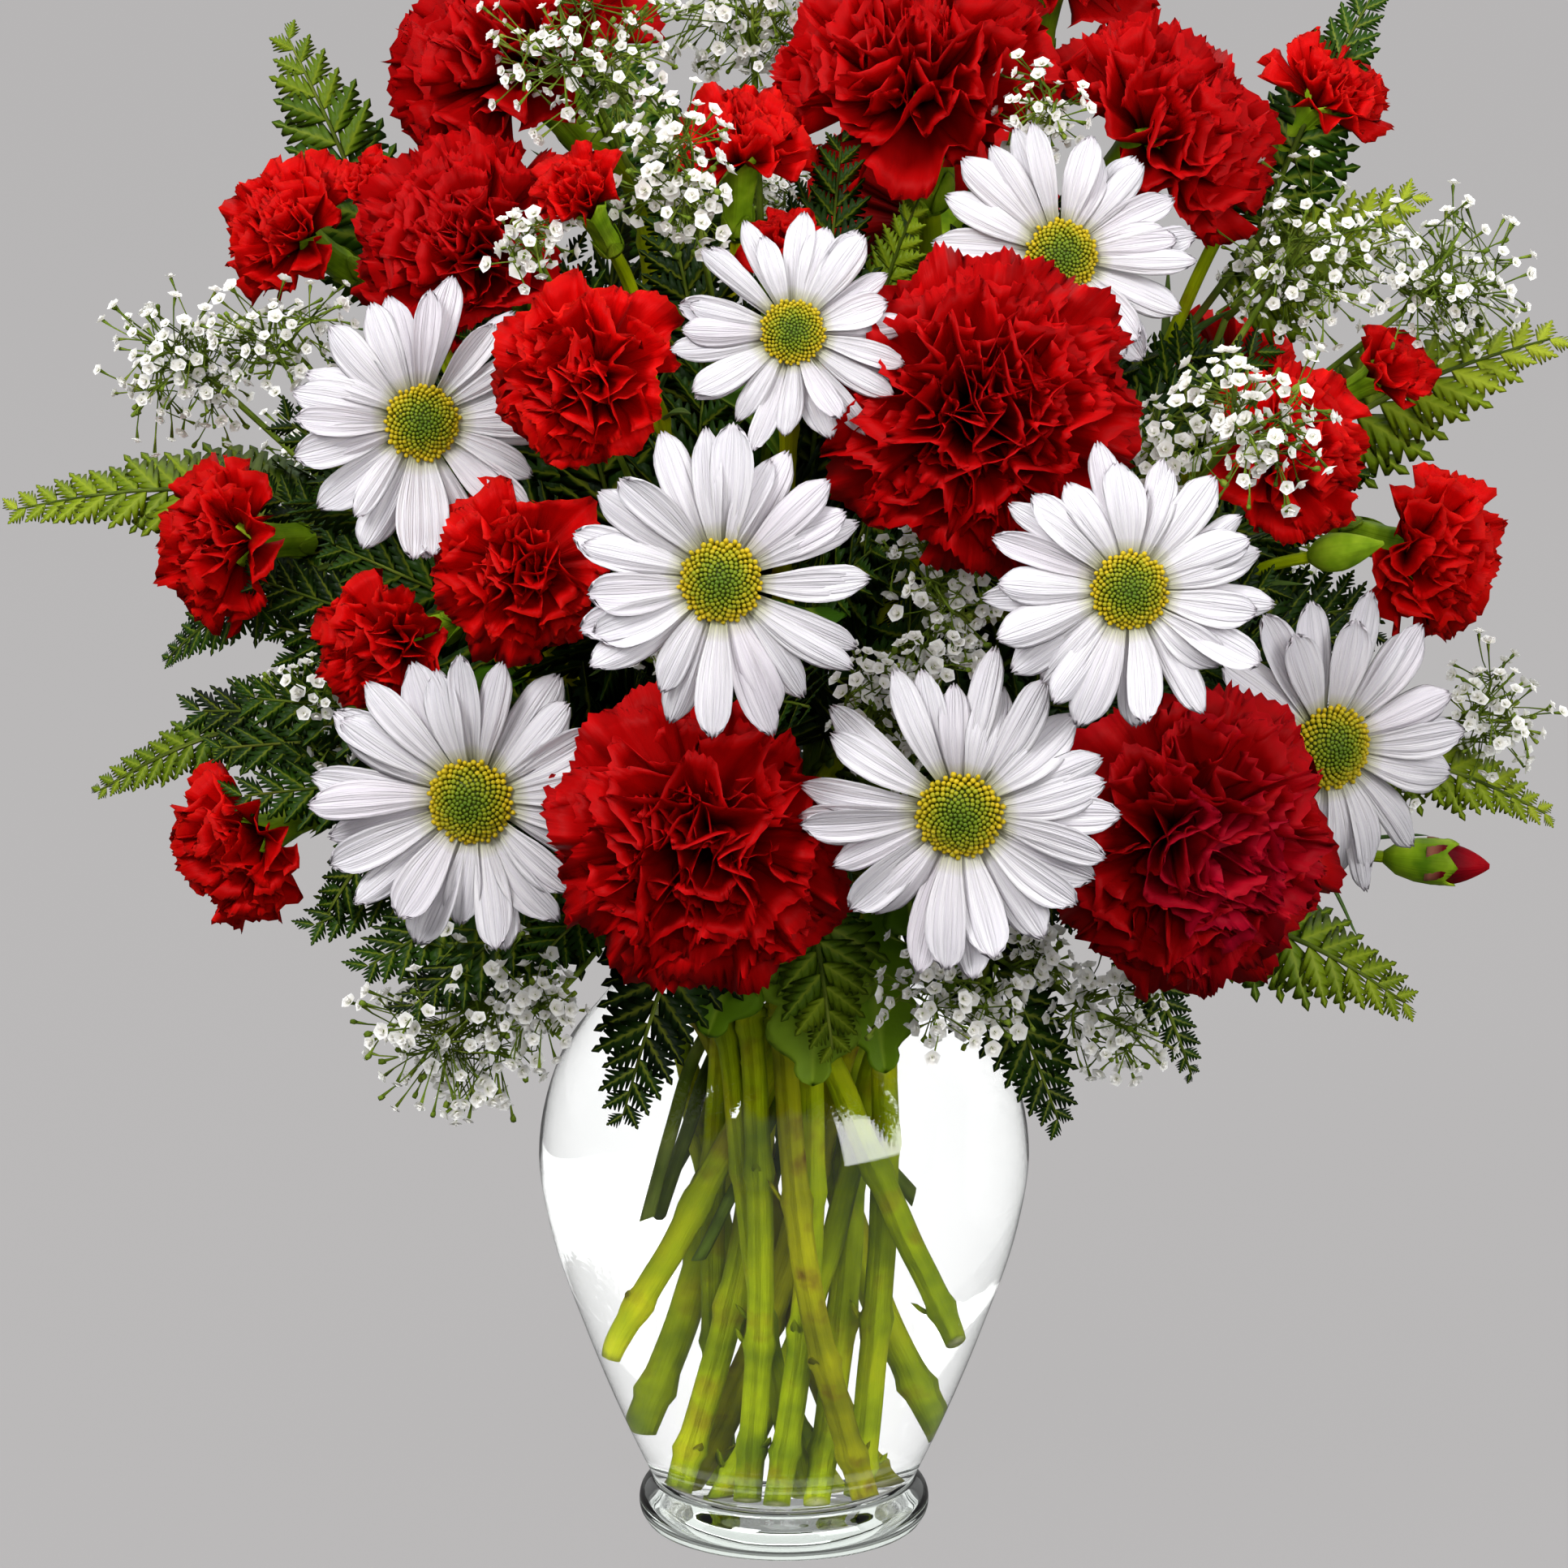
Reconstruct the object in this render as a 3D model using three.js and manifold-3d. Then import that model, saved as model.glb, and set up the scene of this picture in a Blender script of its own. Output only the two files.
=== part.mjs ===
// Red carnations, white daisies, fern and gypsophila, standing in a clear glass vase of water.
// Millimetres, +Z up. The origin is the centre of the vase's foot, on the table. -Y is the front.
import * as THREE from "three";
import { mergeVertices } from "three/addons/utils/BufferGeometryUtils.js";
import Module from "manifold-3d";

const wasm = await Module();
wasm.setup();
const { Manifold, Mesh } = wasm;

// ---------- Driving dimensions ----------
const VASE = { height: 178, floor: 9, rim: 44, sides: 18 };
const WATER_LEVEL = 146;
const GAP = 0.3; // left between neighbouring pieces
const SMOOTHED = 0.03; // edges shorter than this, left by joins and cuts, are closed up
const NEAREST_FLORET = 0.6; // a floret closer than this to another piece is left out
const STEM = { carnation: 2.9, spray: 2.5, daisy: 3.1, fern: 1.5, gypsophila: 1.3 };
const BRANCH = { spray: 1.5, daisy: 1.6, fern: 0.9, gypsophila: 0.8 };
const CALYX = { length: 0.75, foot: 4, waist: 0.16, mouth: 0.23 }; // shares of the bloom's radius, and mm
const DAISY = { depth: 3, cup: 7 }; // how far the rays lie behind the face, and the green cup behind them
const BUD = { depth: 0.3, length: 1.6 }; // shares of the bud's radius
const CUT_END = { floor: VASE.floor + 2.2, fern: 88, gypsophila: 80 }; // heights of the cut ends
const RIM_MIDDLE = VASE.rim - 1.5;
// How a stem fans out: distances from the axis for an upright one, and what full leaning adds.
const FAN = { full: 150, foot: [8, 15], neck: [5, 21], mouth: [7, 25], neckHeight: 158, overRim: 10 };
// Where a stem forks, as shares of the way out and up to its tips, and where branches leave it.
const FORK = { out: 0.36, up: 0.4, overRim: 20, bare: 20, branch: 3.35, branches: 1.1 };
const TAIL = { bloom: 8, branch: 6, loose: 12 }; // the straight end of a stem, under its tip
// The round space kept for a bloom and for its calyx, as shares of the bloom's radius.
const ROUND = { bloom: 0.82, daisy: 0.5, middle: 0.45, calyx: 0.22, calyxAt: [0.15, 0.45] };
const SETTLE = {
  rounds: 450,
  smooth: 0.25, // how fast a bend evens out, in the first share of the rounds
  smoothLate: 0.02, // and after it, so that the last rounds only clear the gaps
  early: 0.7,
  anchor: 0.06, // how fast a loose tip goes back to its place
  clear: 0.8, // left round each stem, beside its radius
  push: 0.5, // share of a missing gap that each of two stems makes up in a round
  pushGlass: 0.7,
  inGlass: 2, // left between a stem and the glass, inside it,
  onGlass: 1.6, // outside it,
  overRim: 3.4, // and over its rim, from the middle of the rim
  longest: 3, // the longest move in a round
  grid: 1e-4, // places are rounded to this, so that every run gives the same bends
};

// The outside of the glass, from the centre of the foot to the rim: radius and height.
const OUTER = [
  [36.5, 0], [38, 2.5], [38, 7], [34.5, 11.5], [39, 21], [52.5, 54], [61.5, 82],
  [64, 100], [58, 126], [43, 147], [37.5, 160], [44, 178],
];
// The inside, from the rim down to the floor.
const INNER = [
  [41, 178], [34.5, 160], [40, 147], [54.8, 126], [61, 100], [58.5, 82], [49.5, 54],
  [35.5, 20], [24, VASE.floor],
];

// ---------- What stands in the vase ----------
// Each bloom: the middle of its face, the way it looks (turn from the front towards +X, then
// tilt above level, in degrees) and its radius. Blooms that share a stem name it.
const bloom = (name, at, turn, tilt, radius, stem = null) => ({ name, at, turn, tilt, radius, stem });
const LARGE_CARNATIONS = [
  bloom("carnation_1", [46, -148, 317], 6, 8, 36),
  bloom("carnation_2", [-20, -152, 215], -5, -4, 35),
  bloom("carnation_3", [100, -124, 209], 24, -6, 36),
  bloom("carnation_4", [-80, -66, 348], -35, 32, 28),
  bloom("carnation_5", [-71, -26, 393], -62, 46, 33),
  bloom("carnation_6", [32, -42, 391], -10, 62, 36),
  bloom("carnation_7", [97, -34, 374], 62, 46, 31),
  bloom("carnation_8", [66, 12, 414], 30, 78, 28),
  bloom("carnation_9", [42, 96, 338], 165, 34, 33),
];
const SMALL_CARNATIONS = [
  bloom("small_carnation_1", [-47, -146, 326], -24, 14, 23, "spray_front"),
  bloom("small_carnation_2", [-62, -132, 277], -14, 2, 22, "spray_front"),
  bloom("small_carnation_3", [-96, -98, 252], -34, -4, 20, "spray_front"),
  bloom("small_carnation_4", [-140, -46, 269], -50, 4, 22, "spray_left"),
  bloom("small_carnation_5", [-136, -56, 194], -44, -12, 22, "spray_left"),
  bloom("small_carnation_6", [-124, -26, 345], -42, 30, 20, "spray_left"),
  bloom("small_carnation_7", [-47, -112, 363], -24, 42, 15, "spray_top"),
  bloom("small_carnation_8", [-10, -58, 370], 8, 66, 19, "spray_top"),
  bloom("small_carnation_9", [0, -78, 346], -4, 42, 14, "spray_top"),
  bloom("small_carnation_10", [138, 4, 376], 58, 48, 18, "spray_right"),
  bloom("small_carnation_11", [124, -80, 297], 40, 14, 23, "spray_right"),
  bloom("small_carnation_12", [151, -24, 309], 62, 30, 15, "spray_right"),
  bloom("small_carnation_13", [162, -38, 264], 38, -4, 23, "spray_right"),
];
// Smaller blooms and closed buds, each fused into the green of the spray that it grows on.
const FUSED_BLOOMS = [
  bloom("side_bloom", [-102, -34, 356], -25, 48, 12, "spray_left"),
  bloom("back_bloom_1", [-96, 82, 296], -140, 20, 20, "spray_left"),
  bloom("back_bloom_2", [4, 112, 244], 178, 4, 19, "spray_top"),
  bloom("back_bloom_3", [122, 74, 296], 128, 22, 20, "spray_right"),
];
const BUDS = [
  bloom("red_bud", [172, -26, 183], 84, -4, 10, "spray_right"),
  bloom("green_bud", [142, -66, 272], 70, 14, 8, "spray_right"),
];
const DAISIES = [
  bloom("daisy_1", [-84, -122, 311], 12, 8, 31, "daisy_stem_left"),
  bloom("daisy_2", [2, -150, 336], 0, 14, 26, "daisy_stem_front"),
  bloom("daisy_3", [65, -100, 347], 4, 10, 30, "daisy_stem_right"),
  bloom("daisy_4", [-14, -178, 284], -3, 6, 33, "daisy_stem_front"),
  bloom("daisy_5", [77, -178, 282], 5, 8, 31, "daisy_stem_right"),
  bloom("daisy_6", [-73, -130, 223], -10, 0, 36, "daisy_stem_left"),
  bloom("daisy_7", [40, -166, 228], -4, -4, 35, "daisy_stem_front"),
  bloom("daisy_8", [132, -84, 226], 22, 2, 36, "daisy_stem_right"),
  bloom("daisy_9", [-40, 116, 286], -164, 16, 32, "daisy_stem_left"),
  bloom("daisy_10", [80, 100, 264], 140, 8, 33, "daisy_stem_right"),
];
// Each frond: where its blade starts, its tip, its half width, its leaflets a side and its stem.
const frond = (from, tip, width, leaflets, stem) => ({ from, tip, width, leaflets, stem });
const FRONDS = [
  frond([-114, -14, 274], [-196, -10, 271], 20, 5, "fern_left"),
  frond([-116, -28, 224], [-175, -20, 200], 15, 5, "fern_left"),
  frond([-112, -36, 262], [-157, -14, 233], 15, 4, "fern_left"),
  frond([-92, -66, 206], [-114, -62, 177], 14, 3, "fern_left"),
  frond([-92, 48, 232], [-138, 78, 240], 22, 4, "fern_left"),
  frond([-98, 8, 322], [-126, 12, 390], 23, 5, "fern_top"),
  frond([120, 10, 338], [150, 12, 402], 19, 5, "fern_top"),
  frond([22, -36, 312], [33, -66, 358], 15, 4, "fern_top"),
  frond([-22, 66, 318], [-52, 92, 386], 24, 5, "fern_top"),
  frond([112, 4, 318], [160, 2, 350], 20, 4, "fern_right"),
  frond([128, -2, 284], [196, 0, 314], 24, 5, "fern_right"),
  frond([136, -20, 214], [195, -20, 194], 18, 5, "fern_right"),
  frond([104, -48, 178], [157, -50, 152], 21, 5, "fern_right"),
  frond([86, -52, 172], [102, -60, 136], 11, 3, "fern_front"),
  frond([44, -66, 182], [68, -82, 130], 20, 5, "fern_front"),
  frond([-22, -64, 184], [-40, -82, 131], 21, 5, "fern_front"),
  frond([6, -66, 186], [12, -88, 150], 20, 4, "fern_front"),
  frond([40, 92, 262], [66, 146, 300], 24, 4, "fern_back"),
  frond([82, 62, 214], [136, 92, 216], 22, 4, "fern_back"),
];
// Clouds of gypsophila florets: the middle, the radius and the stem that carries them.
const cloud = (at, radius, florets, stem) => ({ at, radius, florets, stem });
const CLOUDS = [
  cloud([-148, -32, 313], 17, 3, "gypsophila_left"),
  cloud([-122, -60, 322], 14, 3, "gypsophila_left"),
  cloud([-116, -58, 228], 12, 2, "gypsophila_left"),
  cloud([-79, -72, 156], 20, 4, "gypsophila_left"),
  cloud([-118, 52, 268], 20, 3, "gypsophila_left"),
  cloud([-48, -62, 392], 18, 3, "gypsophila_top"),
  cloud([-22, -96, 366], 15, 3, "gypsophila_top"),
  cloud([-8, -6, 398], 18, 3, "gypsophila_top"),
  cloud([64, -66, 378], 11, 2, "gypsophila_top"),
  cloud([-6, 112, 330], 22, 3, "gypsophila_top"),
  cloud([164, -12, 330], 18, 3, "gypsophila_right"),
  cloud([128, -34, 340], 18, 3, "gypsophila_right"),
  cloud([109, -126, 312], 15, 3, "gypsophila_right"),
  cloud([178, -24, 222], 14, 3, "gypsophila_right"),
  cloud([128, 84, 250], 20, 3, "gypsophila_right"),
  cloud([37, -122, 275], 15, 2, "gypsophila_front"),
  cloud([38, -104, 168], 14, 3, "gypsophila_front"),
  cloud([78, -82, 158], 13, 3, "gypsophila_front"),
];
// Stems that rest against the glass above the floor: where their cut ends are.
const HIGH_ENDS = {
  carnation_4: [38, -6, 56],
  carnation_5: [27, 8, 26],
  carnation_7: [-36, -6, 50],
  carnation_8: [-25, 10, 27],
};

// ---------- Small helpers ----------
const vec = (p) => new THREE.Vector3(...p);
const radians = THREE.MathUtils.degToRad;
const facing = (turn, tilt) =>
  new THREE.Vector3(
    Math.sin(radians(turn)) * Math.cos(radians(tilt)),
    -Math.cos(radians(turn)) * Math.cos(radians(tilt)),
    Math.sin(radians(tilt)),
  );
const lerp = (a, b, t) => a.clone().lerp(b, t);
// The same numbers from 0 to 1 on every run, for the scatter of florets.
const chance = (n) => {
  const s = Math.sin(n * 127.1 + 11.7) * 43758.5453;
  return s - Math.floor(s);
};

function geometryOf(points, triangles) {
  const geometry = new THREE.BufferGeometry().setFromPoints(points);
  geometry.setIndex(triangles.flat());
  return geometry;
}

// A closed three.js geometry as a solid that can be joined and cut.
function solidOf(geometry) {
  const bare = geometry.clone();
  bare.deleteAttribute("normal");
  bare.deleteAttribute("uv");
  const merged = mergeVertices(bare, 1e-4);
  const vertProperties = new Float32Array(merged.attributes.position.array);
  const build = (triVerts) => new Manifold(new Mesh({ numProp: 3, vertProperties, triVerts }));
  const triangles = Array.from(merged.index.array).reduce(
    (list, v, i) => (i % 3 ? list[list.length - 1].push(v) : list.push([v]), list),
    [],
  );
  const whole = triangles.filter(([a, b, c]) => a !== b && b !== c && a !== c);
  const made = build(new Uint32Array(whole.flat()));
  return made.volume() > 0 ? made : build(new Uint32Array(whole.map((t) => t.reverse()).flat()));
}

function meshOf(name, solid, material) {
  const got = solid.getMesh();
  const geometry = new THREE.BufferGeometry();
  geometry.setAttribute("position", new THREE.BufferAttribute(got.vertProperties, 3));
  geometry.setIndex(new THREE.BufferAttribute(got.triVerts, 1));
  geometry.computeVertexNormals();
  const mesh = new THREE.Mesh(geometry, material);
  mesh.name = name;
  return mesh;
}

const joined = (solids) => solids.reduce((all, s) => all.add(s));
// The largest body of a solid, so that a scrap cut loose is dropped.
const mainBody = (solid) =>
  solid.decompose().reduce((a, b) => (a.volume() > b.volume() ? a : b)).simplify(SMOOTHED);

// Turns a profile of [radius, height] about Z. Sides is how many flats it has.
function turned(profile, sides) {
  const points = profile.map(([r, z]) => new THREE.Vector2(r, z));
  return new THREE.LatheGeometry(points, sides).rotateX(Math.PI / 2);
}

// Moves what is modelled on +Z at the origin to a point, looking along a direction.
function placed(geometry, at, direction, spin = 0) {
  const turn = new THREE.Quaternion().setFromUnitVectors(new THREE.Vector3(0, 0, 1), direction);
  geometry.rotateZ(spin);
  geometry.applyQuaternion(turn);
  return geometry.translate(at.x, at.y, at.z);
}

// A round stem through points, with a radius at each, closed by flat ends.
function stemGeometry(points, radii, sides) {
  const rings = [];
  const heading = (i) =>
    points[Math.min(i + 1, points.length - 1)].clone().sub(points[Math.max(i - 1, 0)]).normalize();
  let side = new THREE.Vector3(0.36, 0.93, 0.08).cross(heading(0)).normalize();
  points.forEach((p, i) => {
    const along = heading(i);
    side = side.clone().sub(along.clone().multiplyScalar(side.dot(along))).normalize();
    const across = along.clone().cross(side);
    for (let k = 0; k < sides; k++) {
      const a = (2 * Math.PI * k) / sides;
      rings.push(
        p.clone().addScaledVector(side, radii[i] * Math.cos(a)).addScaledVector(across, radii[i] * Math.sin(a)),
      );
    }
  });
  const triangles = [];
  for (let i = 0; i + 1 < points.length; i++) {
    for (let k = 0; k < sides; k++) {
      const [a, b] = [i * sides + k, i * sides + ((k + 1) % sides)];
      triangles.push([a, b, b + sides], [a, b + sides, a + sides]);
    }
  }
  const last = (points.length - 1) * sides;
  for (let k = 1; k + 1 < sides; k++) {
    triangles.push([0, k + 1, k], [last, last + k, last + k + 1]);
  }
  return geometryOf(rings, triangles);
}

// ---------- Blooms ----------
// A point of a petal that rises at lift degrees from a height on the bloom's axis.
function petalPoint(reach, lift, angle, foot) {
  const [r, z] = [reach * Math.cos(radians(lift)), foot + reach * Math.sin(radians(lift))];
  return new THREE.Vector3(r * Math.cos(angle), r * Math.sin(angle), z);
}
const petalNormal = (lift, angle) =>
  new THREE.Vector3(
    -Math.sin(radians(lift)) * Math.cos(angle),
    -Math.sin(radians(lift)) * Math.sin(angle),
    Math.cos(radians(lift)),
  );

// A head as one closed surface round its axis: whorls of keeled petals that stand out of a small
// core. A whorl has a ring of root points under its petals and one over them, and each petal
// spans two neighbouring roots. Plain rings between them are [radius, height].
function headGeometry(count, tiers) {
  const points = [];
  const triangles = [];
  const add = (p) => points.push(p) - 1;
  const ring = (r, z, shift) =>
    Array.from({ length: count }, (_, i) => {
      const a = (2 * Math.PI * (i + shift)) / count;
      return add(new THREE.Vector3(r * Math.cos(a), r * Math.sin(a), z));
    });
  const strip = (low, high) =>
    low.forEach((v, i) => {
      const j = (i + 1) % count;
      triangles.push([v, low[j], high[i]], [low[j], high[j], high[i]]);
    });
  let below = null;
  const first = add(new THREE.Vector3(0, 0, tiers[0].at[1]));
  tiers.forEach((tier) => {
    const shift = tier.shift ?? 0;
    const low = ring(tier.at[0], tier.at[1], shift);
    if (below) strip(below, low);
    else low.forEach((v, i) => triangles.push([first, low[(i + 1) % count], v]));
    below = low;
    if (!tier.petal) return;
    const high = ring(tier.over[0], tier.over[1], shift);
    low.forEach((v, i) => {
      const j = (i + 1) % count;
      const { rim, keel } = tier.petal(i, (2 * Math.PI * (i + 0.5 + shift)) / count);
      const outer = rim.map(add);
      const [up, down] = keel.map(add);
      const loop = (...ends) => [ends[0], ...outer, ends[1]];
      const over = loop(high[i], high[j]);
      const under = loop(v, low[j]);
      for (let k = 0; k + 1 < over.length; k++) {
        triangles.push([over[k], over[k + 1], up], [under[k + 1], under[k], down]);
      }
      triangles.push([over[0], up, over.at(-1)], [under[0], under.at(-1), down]);
      triangles.push([v, outer[0], high[i]], [low[j], high[j], outer.at(-1)]);
    });
    below = high;
  });
  const top = add(new THREE.Vector3(0, 0, tiers.at(-1).top));
  below.forEach((v, i) => triangles.push([v, below[(i + 1) % count], top]));
  return geometryOf(points, triangles);
}

// A carnation petal: a fan whose outer edge is ruffled up and down.
const ruffledPetal = (R, count, { lift, reach, foot, edge, full = 0.86 }) => (i, angle) => {
  const half = (full * Math.PI) / count;
  const length = R * reach * (0.93 + 0.1 * chance(i + 7 * lift));
  const normal = petalNormal(lift, angle);
  const rim = Array.from({ length: edge }, (_, k) => {
    const t = (2 * k) / (edge - 1) - 1;
    const outward = length * (k % 2 ? 1 : 0.92);
    return petalPoint(outward, lift, angle + t * half, foot * R)
      .addScaledVector(normal, (k % 2 ? 0.07 : -0.04) * R);
  });
  const middle = petalPoint(0.62 * length, lift, angle, foot * R);
  return { rim, keel: [1.3, -1.3].map((h) => middle.clone().addScaledVector(normal, h)) };
};

// A carnation's head. Its underside sits on the mouth of the calyx.
function carnationHead({ radius: R }, kind) {
  const large = kind === "large";
  const count = large ? 6 : 5;
  const petal = (shape) => ruffledPetal(R, count, shape);
  const ringAt = (r, z) => [r * R, z * R];
  const tiers = [
    { at: [0.17 * R, GAP] },
    {
      at: ringAt(0.3, 0.1), over: ringAt(0.32, 0.19), shift: 0,
      petal: petal({ lift: large ? 6 : 12, reach: 1, foot: 0.15, edge: large ? 4 : 3 }),
    },
    {
      at: ringAt(0.3, 0.27), over: ringAt(0.26, 0.38), shift: 0.5,
      petal: petal({ lift: large ? 30 : 42, reach: large ? 0.98 : 0.9, foot: 0.24, edge: large ? 4 : 3 }),
    },
    {
      at: ringAt(0.22, 0.44), over: ringAt(0.16, 0.5), shift: 0,
      petal: large && petal({ lift: 58, reach: 0.78, foot: 0.26, edge: 3 }), top: 0.62 * R,
    },
  ];
  return headGeometry(count, tiers);
}

// A daisy: rays round a raised disc, every second ray lying a little lower.
const RAYS = 14;
function daisyHead({ radius: R }) {
  const ray = (i, angle) => {
    const lift = i % 2 ? 4 : 12;
    const length = R * (0.93 + 0.07 * chance(i + R));
    const normal = petalNormal(lift, angle);
    const across = new THREE.Vector3(-Math.sin(angle), Math.cos(angle), 0);
    const at = (t, w) => petalPoint(t * length, lift, angle, 2).addScaledVector(across, w * R);
    const keel = [0.9, -0.9].map((h) => at(0.66, 0).addScaledVector(normal, h));
    return { rim: [at(0.84, -0.15), at(1, 0), at(0.84, 0.15)], keel };
  };
  return headGeometry(RAYS, [
    { at: [0.2 * R, GAP], over: [0.27 * R, 3.6], petal: ray },
    { at: [0.2 * R, 6.2], top: 7.2 },
  ]);
}

// The space that a bloom fills, which its later neighbours are cut back from.
function carnationSpace(R, sides = 10) {
  const r = 1.05 * R;
  const profile = [[0, -1], [0.25 * R, -1], [r, 0.12 * R], [r, 0.5 * R], [0.74 * R, 0.92 * R], [0, 1.02 * R]];
  return turned(profile, sides);
}
function daisySpace(R, sides = 10) {
  const r = 1.06 * R;
  return turned([[0, -1], [0.3 * R, -0.5], [r, 0.05 * R], [r, 0.34 * R], [0.3 * R, 8.4], [0, 8.4]], sides);
}

// ---------- Stems, bent clear of each other, of the blooms and of the glass ----------
// The radius of a profile of [radius, height] points at a height, its points rising.
function radiusAt(profile, z) {
  const i = profile.findIndex(([, h]) => h >= z);
  if (i < 1) return profile.at(i)[0];
  const [[r0, z0], [r1, z1]] = [profile[i - 1], profile[i]];
  return r0 + ((z - z0) / (z1 - z0)) * (r1 - r0);
}
const INNER_RISING = [...INNER].reverse();
const glassRadius = (z) => radiusAt(INNER_RISING, z);

// The nearest points of two segments, as shares along each.
function nearest(p, q, u, v) {
  const [d, e, r] = [q.clone().sub(p), v.clone().sub(u), p.clone().sub(u)];
  const [a, b, c, f, g] = [d.dot(d), d.dot(e), e.dot(e), d.dot(r), e.dot(r)];
  const clamp = (x) => Math.min(1, Math.max(0, x));
  const s = clamp(a * c - b * b > 1e-9 ? (b * g - c * f) / (a * c - b * b) : 0.5);
  const t = clamp((b * s + g) / c);
  return [clamp((b * t - f) / a), t];
}

// A chain of points for one stem or branch. It ends in a tail along a direction, which is held
// where it is, or only drawn to its place if it has an anchor.
function chainTo(family, route, end, direction, tail, radius, tipRadius) {
  const points = [...route, end.clone().addScaledVector(direction, -tail), end.clone()];
  return { family, radius, tipRadius, points, fixed: 2, onto: null, anchor: null };
}
function setLoose(chain) {
  chain.fixed = 0;
  chain.anchor = chain.points.at(-1).clone();
}

const along = (p, share, height) => {
  const r = Math.max(1, Math.hypot(p.x, p.y));
  return new THREE.Vector3((p.x / r) * share, (p.y / r) * share, height);
};

// Where each bloom's calyx starts and its petals sit.
function headFrame(b, kind) {
  const direction = facing(b.turn, b.tilt);
  const R = b.radius;
  const depth = { carnation: ROUND.middle * R, daisy: DAISY.depth, bud: BUD.depth * R }[kind];
  const mouth = vec(b.at).addScaledVector(direction, -depth);
  const length = { carnation: CALYX.length * R + CALYX.foot, daisy: DAISY.cup, bud: BUD.length * R }[kind];
  return { ...b, kind, direction, mouth, base: mouth.clone().addScaledVector(direction, -length) };
}

const HEADS = [
  ...[...LARGE_CARNATIONS, ...SMALL_CARNATIONS, ...FUSED_BLOOMS].map((b) => headFrame(b, "carnation")),
  ...BUDS.map((b) => headFrame(b, "bud")),
  ...DAISIES.map((b) => headFrame(b, "daisy")),
];

// A point of a chain at a place along it: 3.5 is halfway from its point 3 to its point 4.
const pointAt = (chain, place) => {
  const i = Math.floor(place);
  return lerp(chain.points[i], chain.points[i + 1], place - i);
};

// One family of chains for each stem that goes into the vase. The stem rises from its cut end
// through the neck of the vase to one tip, and the family's other tips branch off it one by one.
function families() {
  const chains = [];
  const main = (family, tip, fork, tail, radius, tipRadius, depth) => {
    const outward = Math.min(1, Math.hypot(fork.x, fork.y) / FAN.full);
    const leaning = ([upright, more]) => upright + more * outward;
    const foot = HIGH_ENDS[family] ? vec(HIGH_ENDS[family]) : along(fork, -leaning(FAN.foot), depth);
    const neck = along(fork, leaning(FAN.neck), FAN.neckHeight);
    const mouth = along(fork, leaning(FAN.mouth), VASE.height + FAN.overRim);
    const route = [foot, lerp(foot, neck, 0.5), neck, mouth, fork, lerp(fork, tip.base, 0.5)];
    const chain = chainTo(family, route, tip.base, tip.direction, tail, radius, tipRadius);
    chain.head = tip.name;
    tip.chain = chain;
    chains.push(chain);
    return chain;
  };
  const bearing = (tips, family, radius, branch, depth, loose) => {
    const own = tips.filter((t) => t.stem === family).sort((a, b) => b.base.z - a.base.z);
    const centre = own.reduce((sum, t) => sum.add(t.base), new THREE.Vector3()).divideScalar(own.length);
    const height = VASE.height + Math.max(FORK.overRim, (centre.z - VASE.height) * FORK.up);
    const fork = new THREE.Vector3(centre.x * FORK.out, centre.y * FORK.out, height);
    const stem = main(family, own[0], fork, TAIL.branch, radius, branch, depth);
    if (loose) setLoose(stem);
    own.slice(1).reverse().forEach((tip, k) => {
      const place = FORK.branch + (FORK.branches * k) / Math.max(1, own.length - 2);
      const start = pointAt(stem, place);
      const route = (loose ? [0, 0.5] : [0, 0.35, 0.7]).map((t) => lerp(start, tip.base, t));
      const tail = loose ? TAIL.loose : TAIL.branch;
      const chain = chainTo(family, route, tip.base, tip.direction, tail, branch, branch);
      chain.onto = { chain: stem, place };
      chain.head = tip.name;
      if (loose) setLoose(chain);
      tip.chain = chain;
      chains.push(chain);
    });
  };
  HEADS.filter((h) => !h.stem).forEach((h) => {
    const fork = lerp(along(h.base, FORK.bare, VASE.height + FAN.overRim), h.base, FORK.up);
    main(h.name, h, fork, TAIL.bloom, STEM.carnation, STEM.carnation, CUT_END.floor);
  });
  FRONDS.forEach((f) => {
    f.base = vec(f.from);
    f.direction = vec(f.tip).sub(f.base).normalize();
  });
  CLOUDS.forEach((c) => {
    c.direction = vec(c.at).sub(new THREE.Vector3(0, 0, 180)).normalize();
    c.base = vec(c.at).addScaledVector(c.direction, -0.7 * c.radius);
  });
  const stemsOf = (list) => [...new Set(list.map((x) => x.stem).filter(Boolean))];
  stemsOf(SMALL_CARNATIONS).forEach((f) => bearing(HEADS, f, STEM.spray, BRANCH.spray, CUT_END.floor));
  stemsOf(DAISIES).forEach((f) => bearing(HEADS, f, STEM.daisy, BRANCH.daisy, CUT_END.floor));
  stemsOf(FRONDS).forEach((f) => bearing(FRONDS, f, STEM.fern, BRANCH.fern, CUT_END.fern, true));
  stemsOf(CLOUDS).forEach((f) =>
    bearing(CLOUDS, f, STEM.gypsophila, BRANCH.gypsophila, CUT_END.gypsophila, true),
  );
  return chains;
}

// Round things that the stems keep away from: blooms, and calyces that are wider than stems.
function obstacles() {
  const at = (h, offset) => h.mouth.clone().addScaledVector(h.direction, offset);
  const blooms = HEADS.map((h) => {
    const flat = h.kind === "daisy";
    const radius = (flat ? ROUND.daisy : ROUND.bloom) * h.radius;
    return { name: h.name, at: at(h, flat ? DAISY.depth : ROUND.middle * h.radius), radius };
  });
  const calyces = HEADS.flatMap((h) =>
    ROUND.calyxAt.map((t) => ({
      name: h.name, at: at(h, -t * h.radius), radius: ROUND.calyx * h.radius + 0.5,
    })),
  );
  return [...blooms, ...calyces];
}

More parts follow.
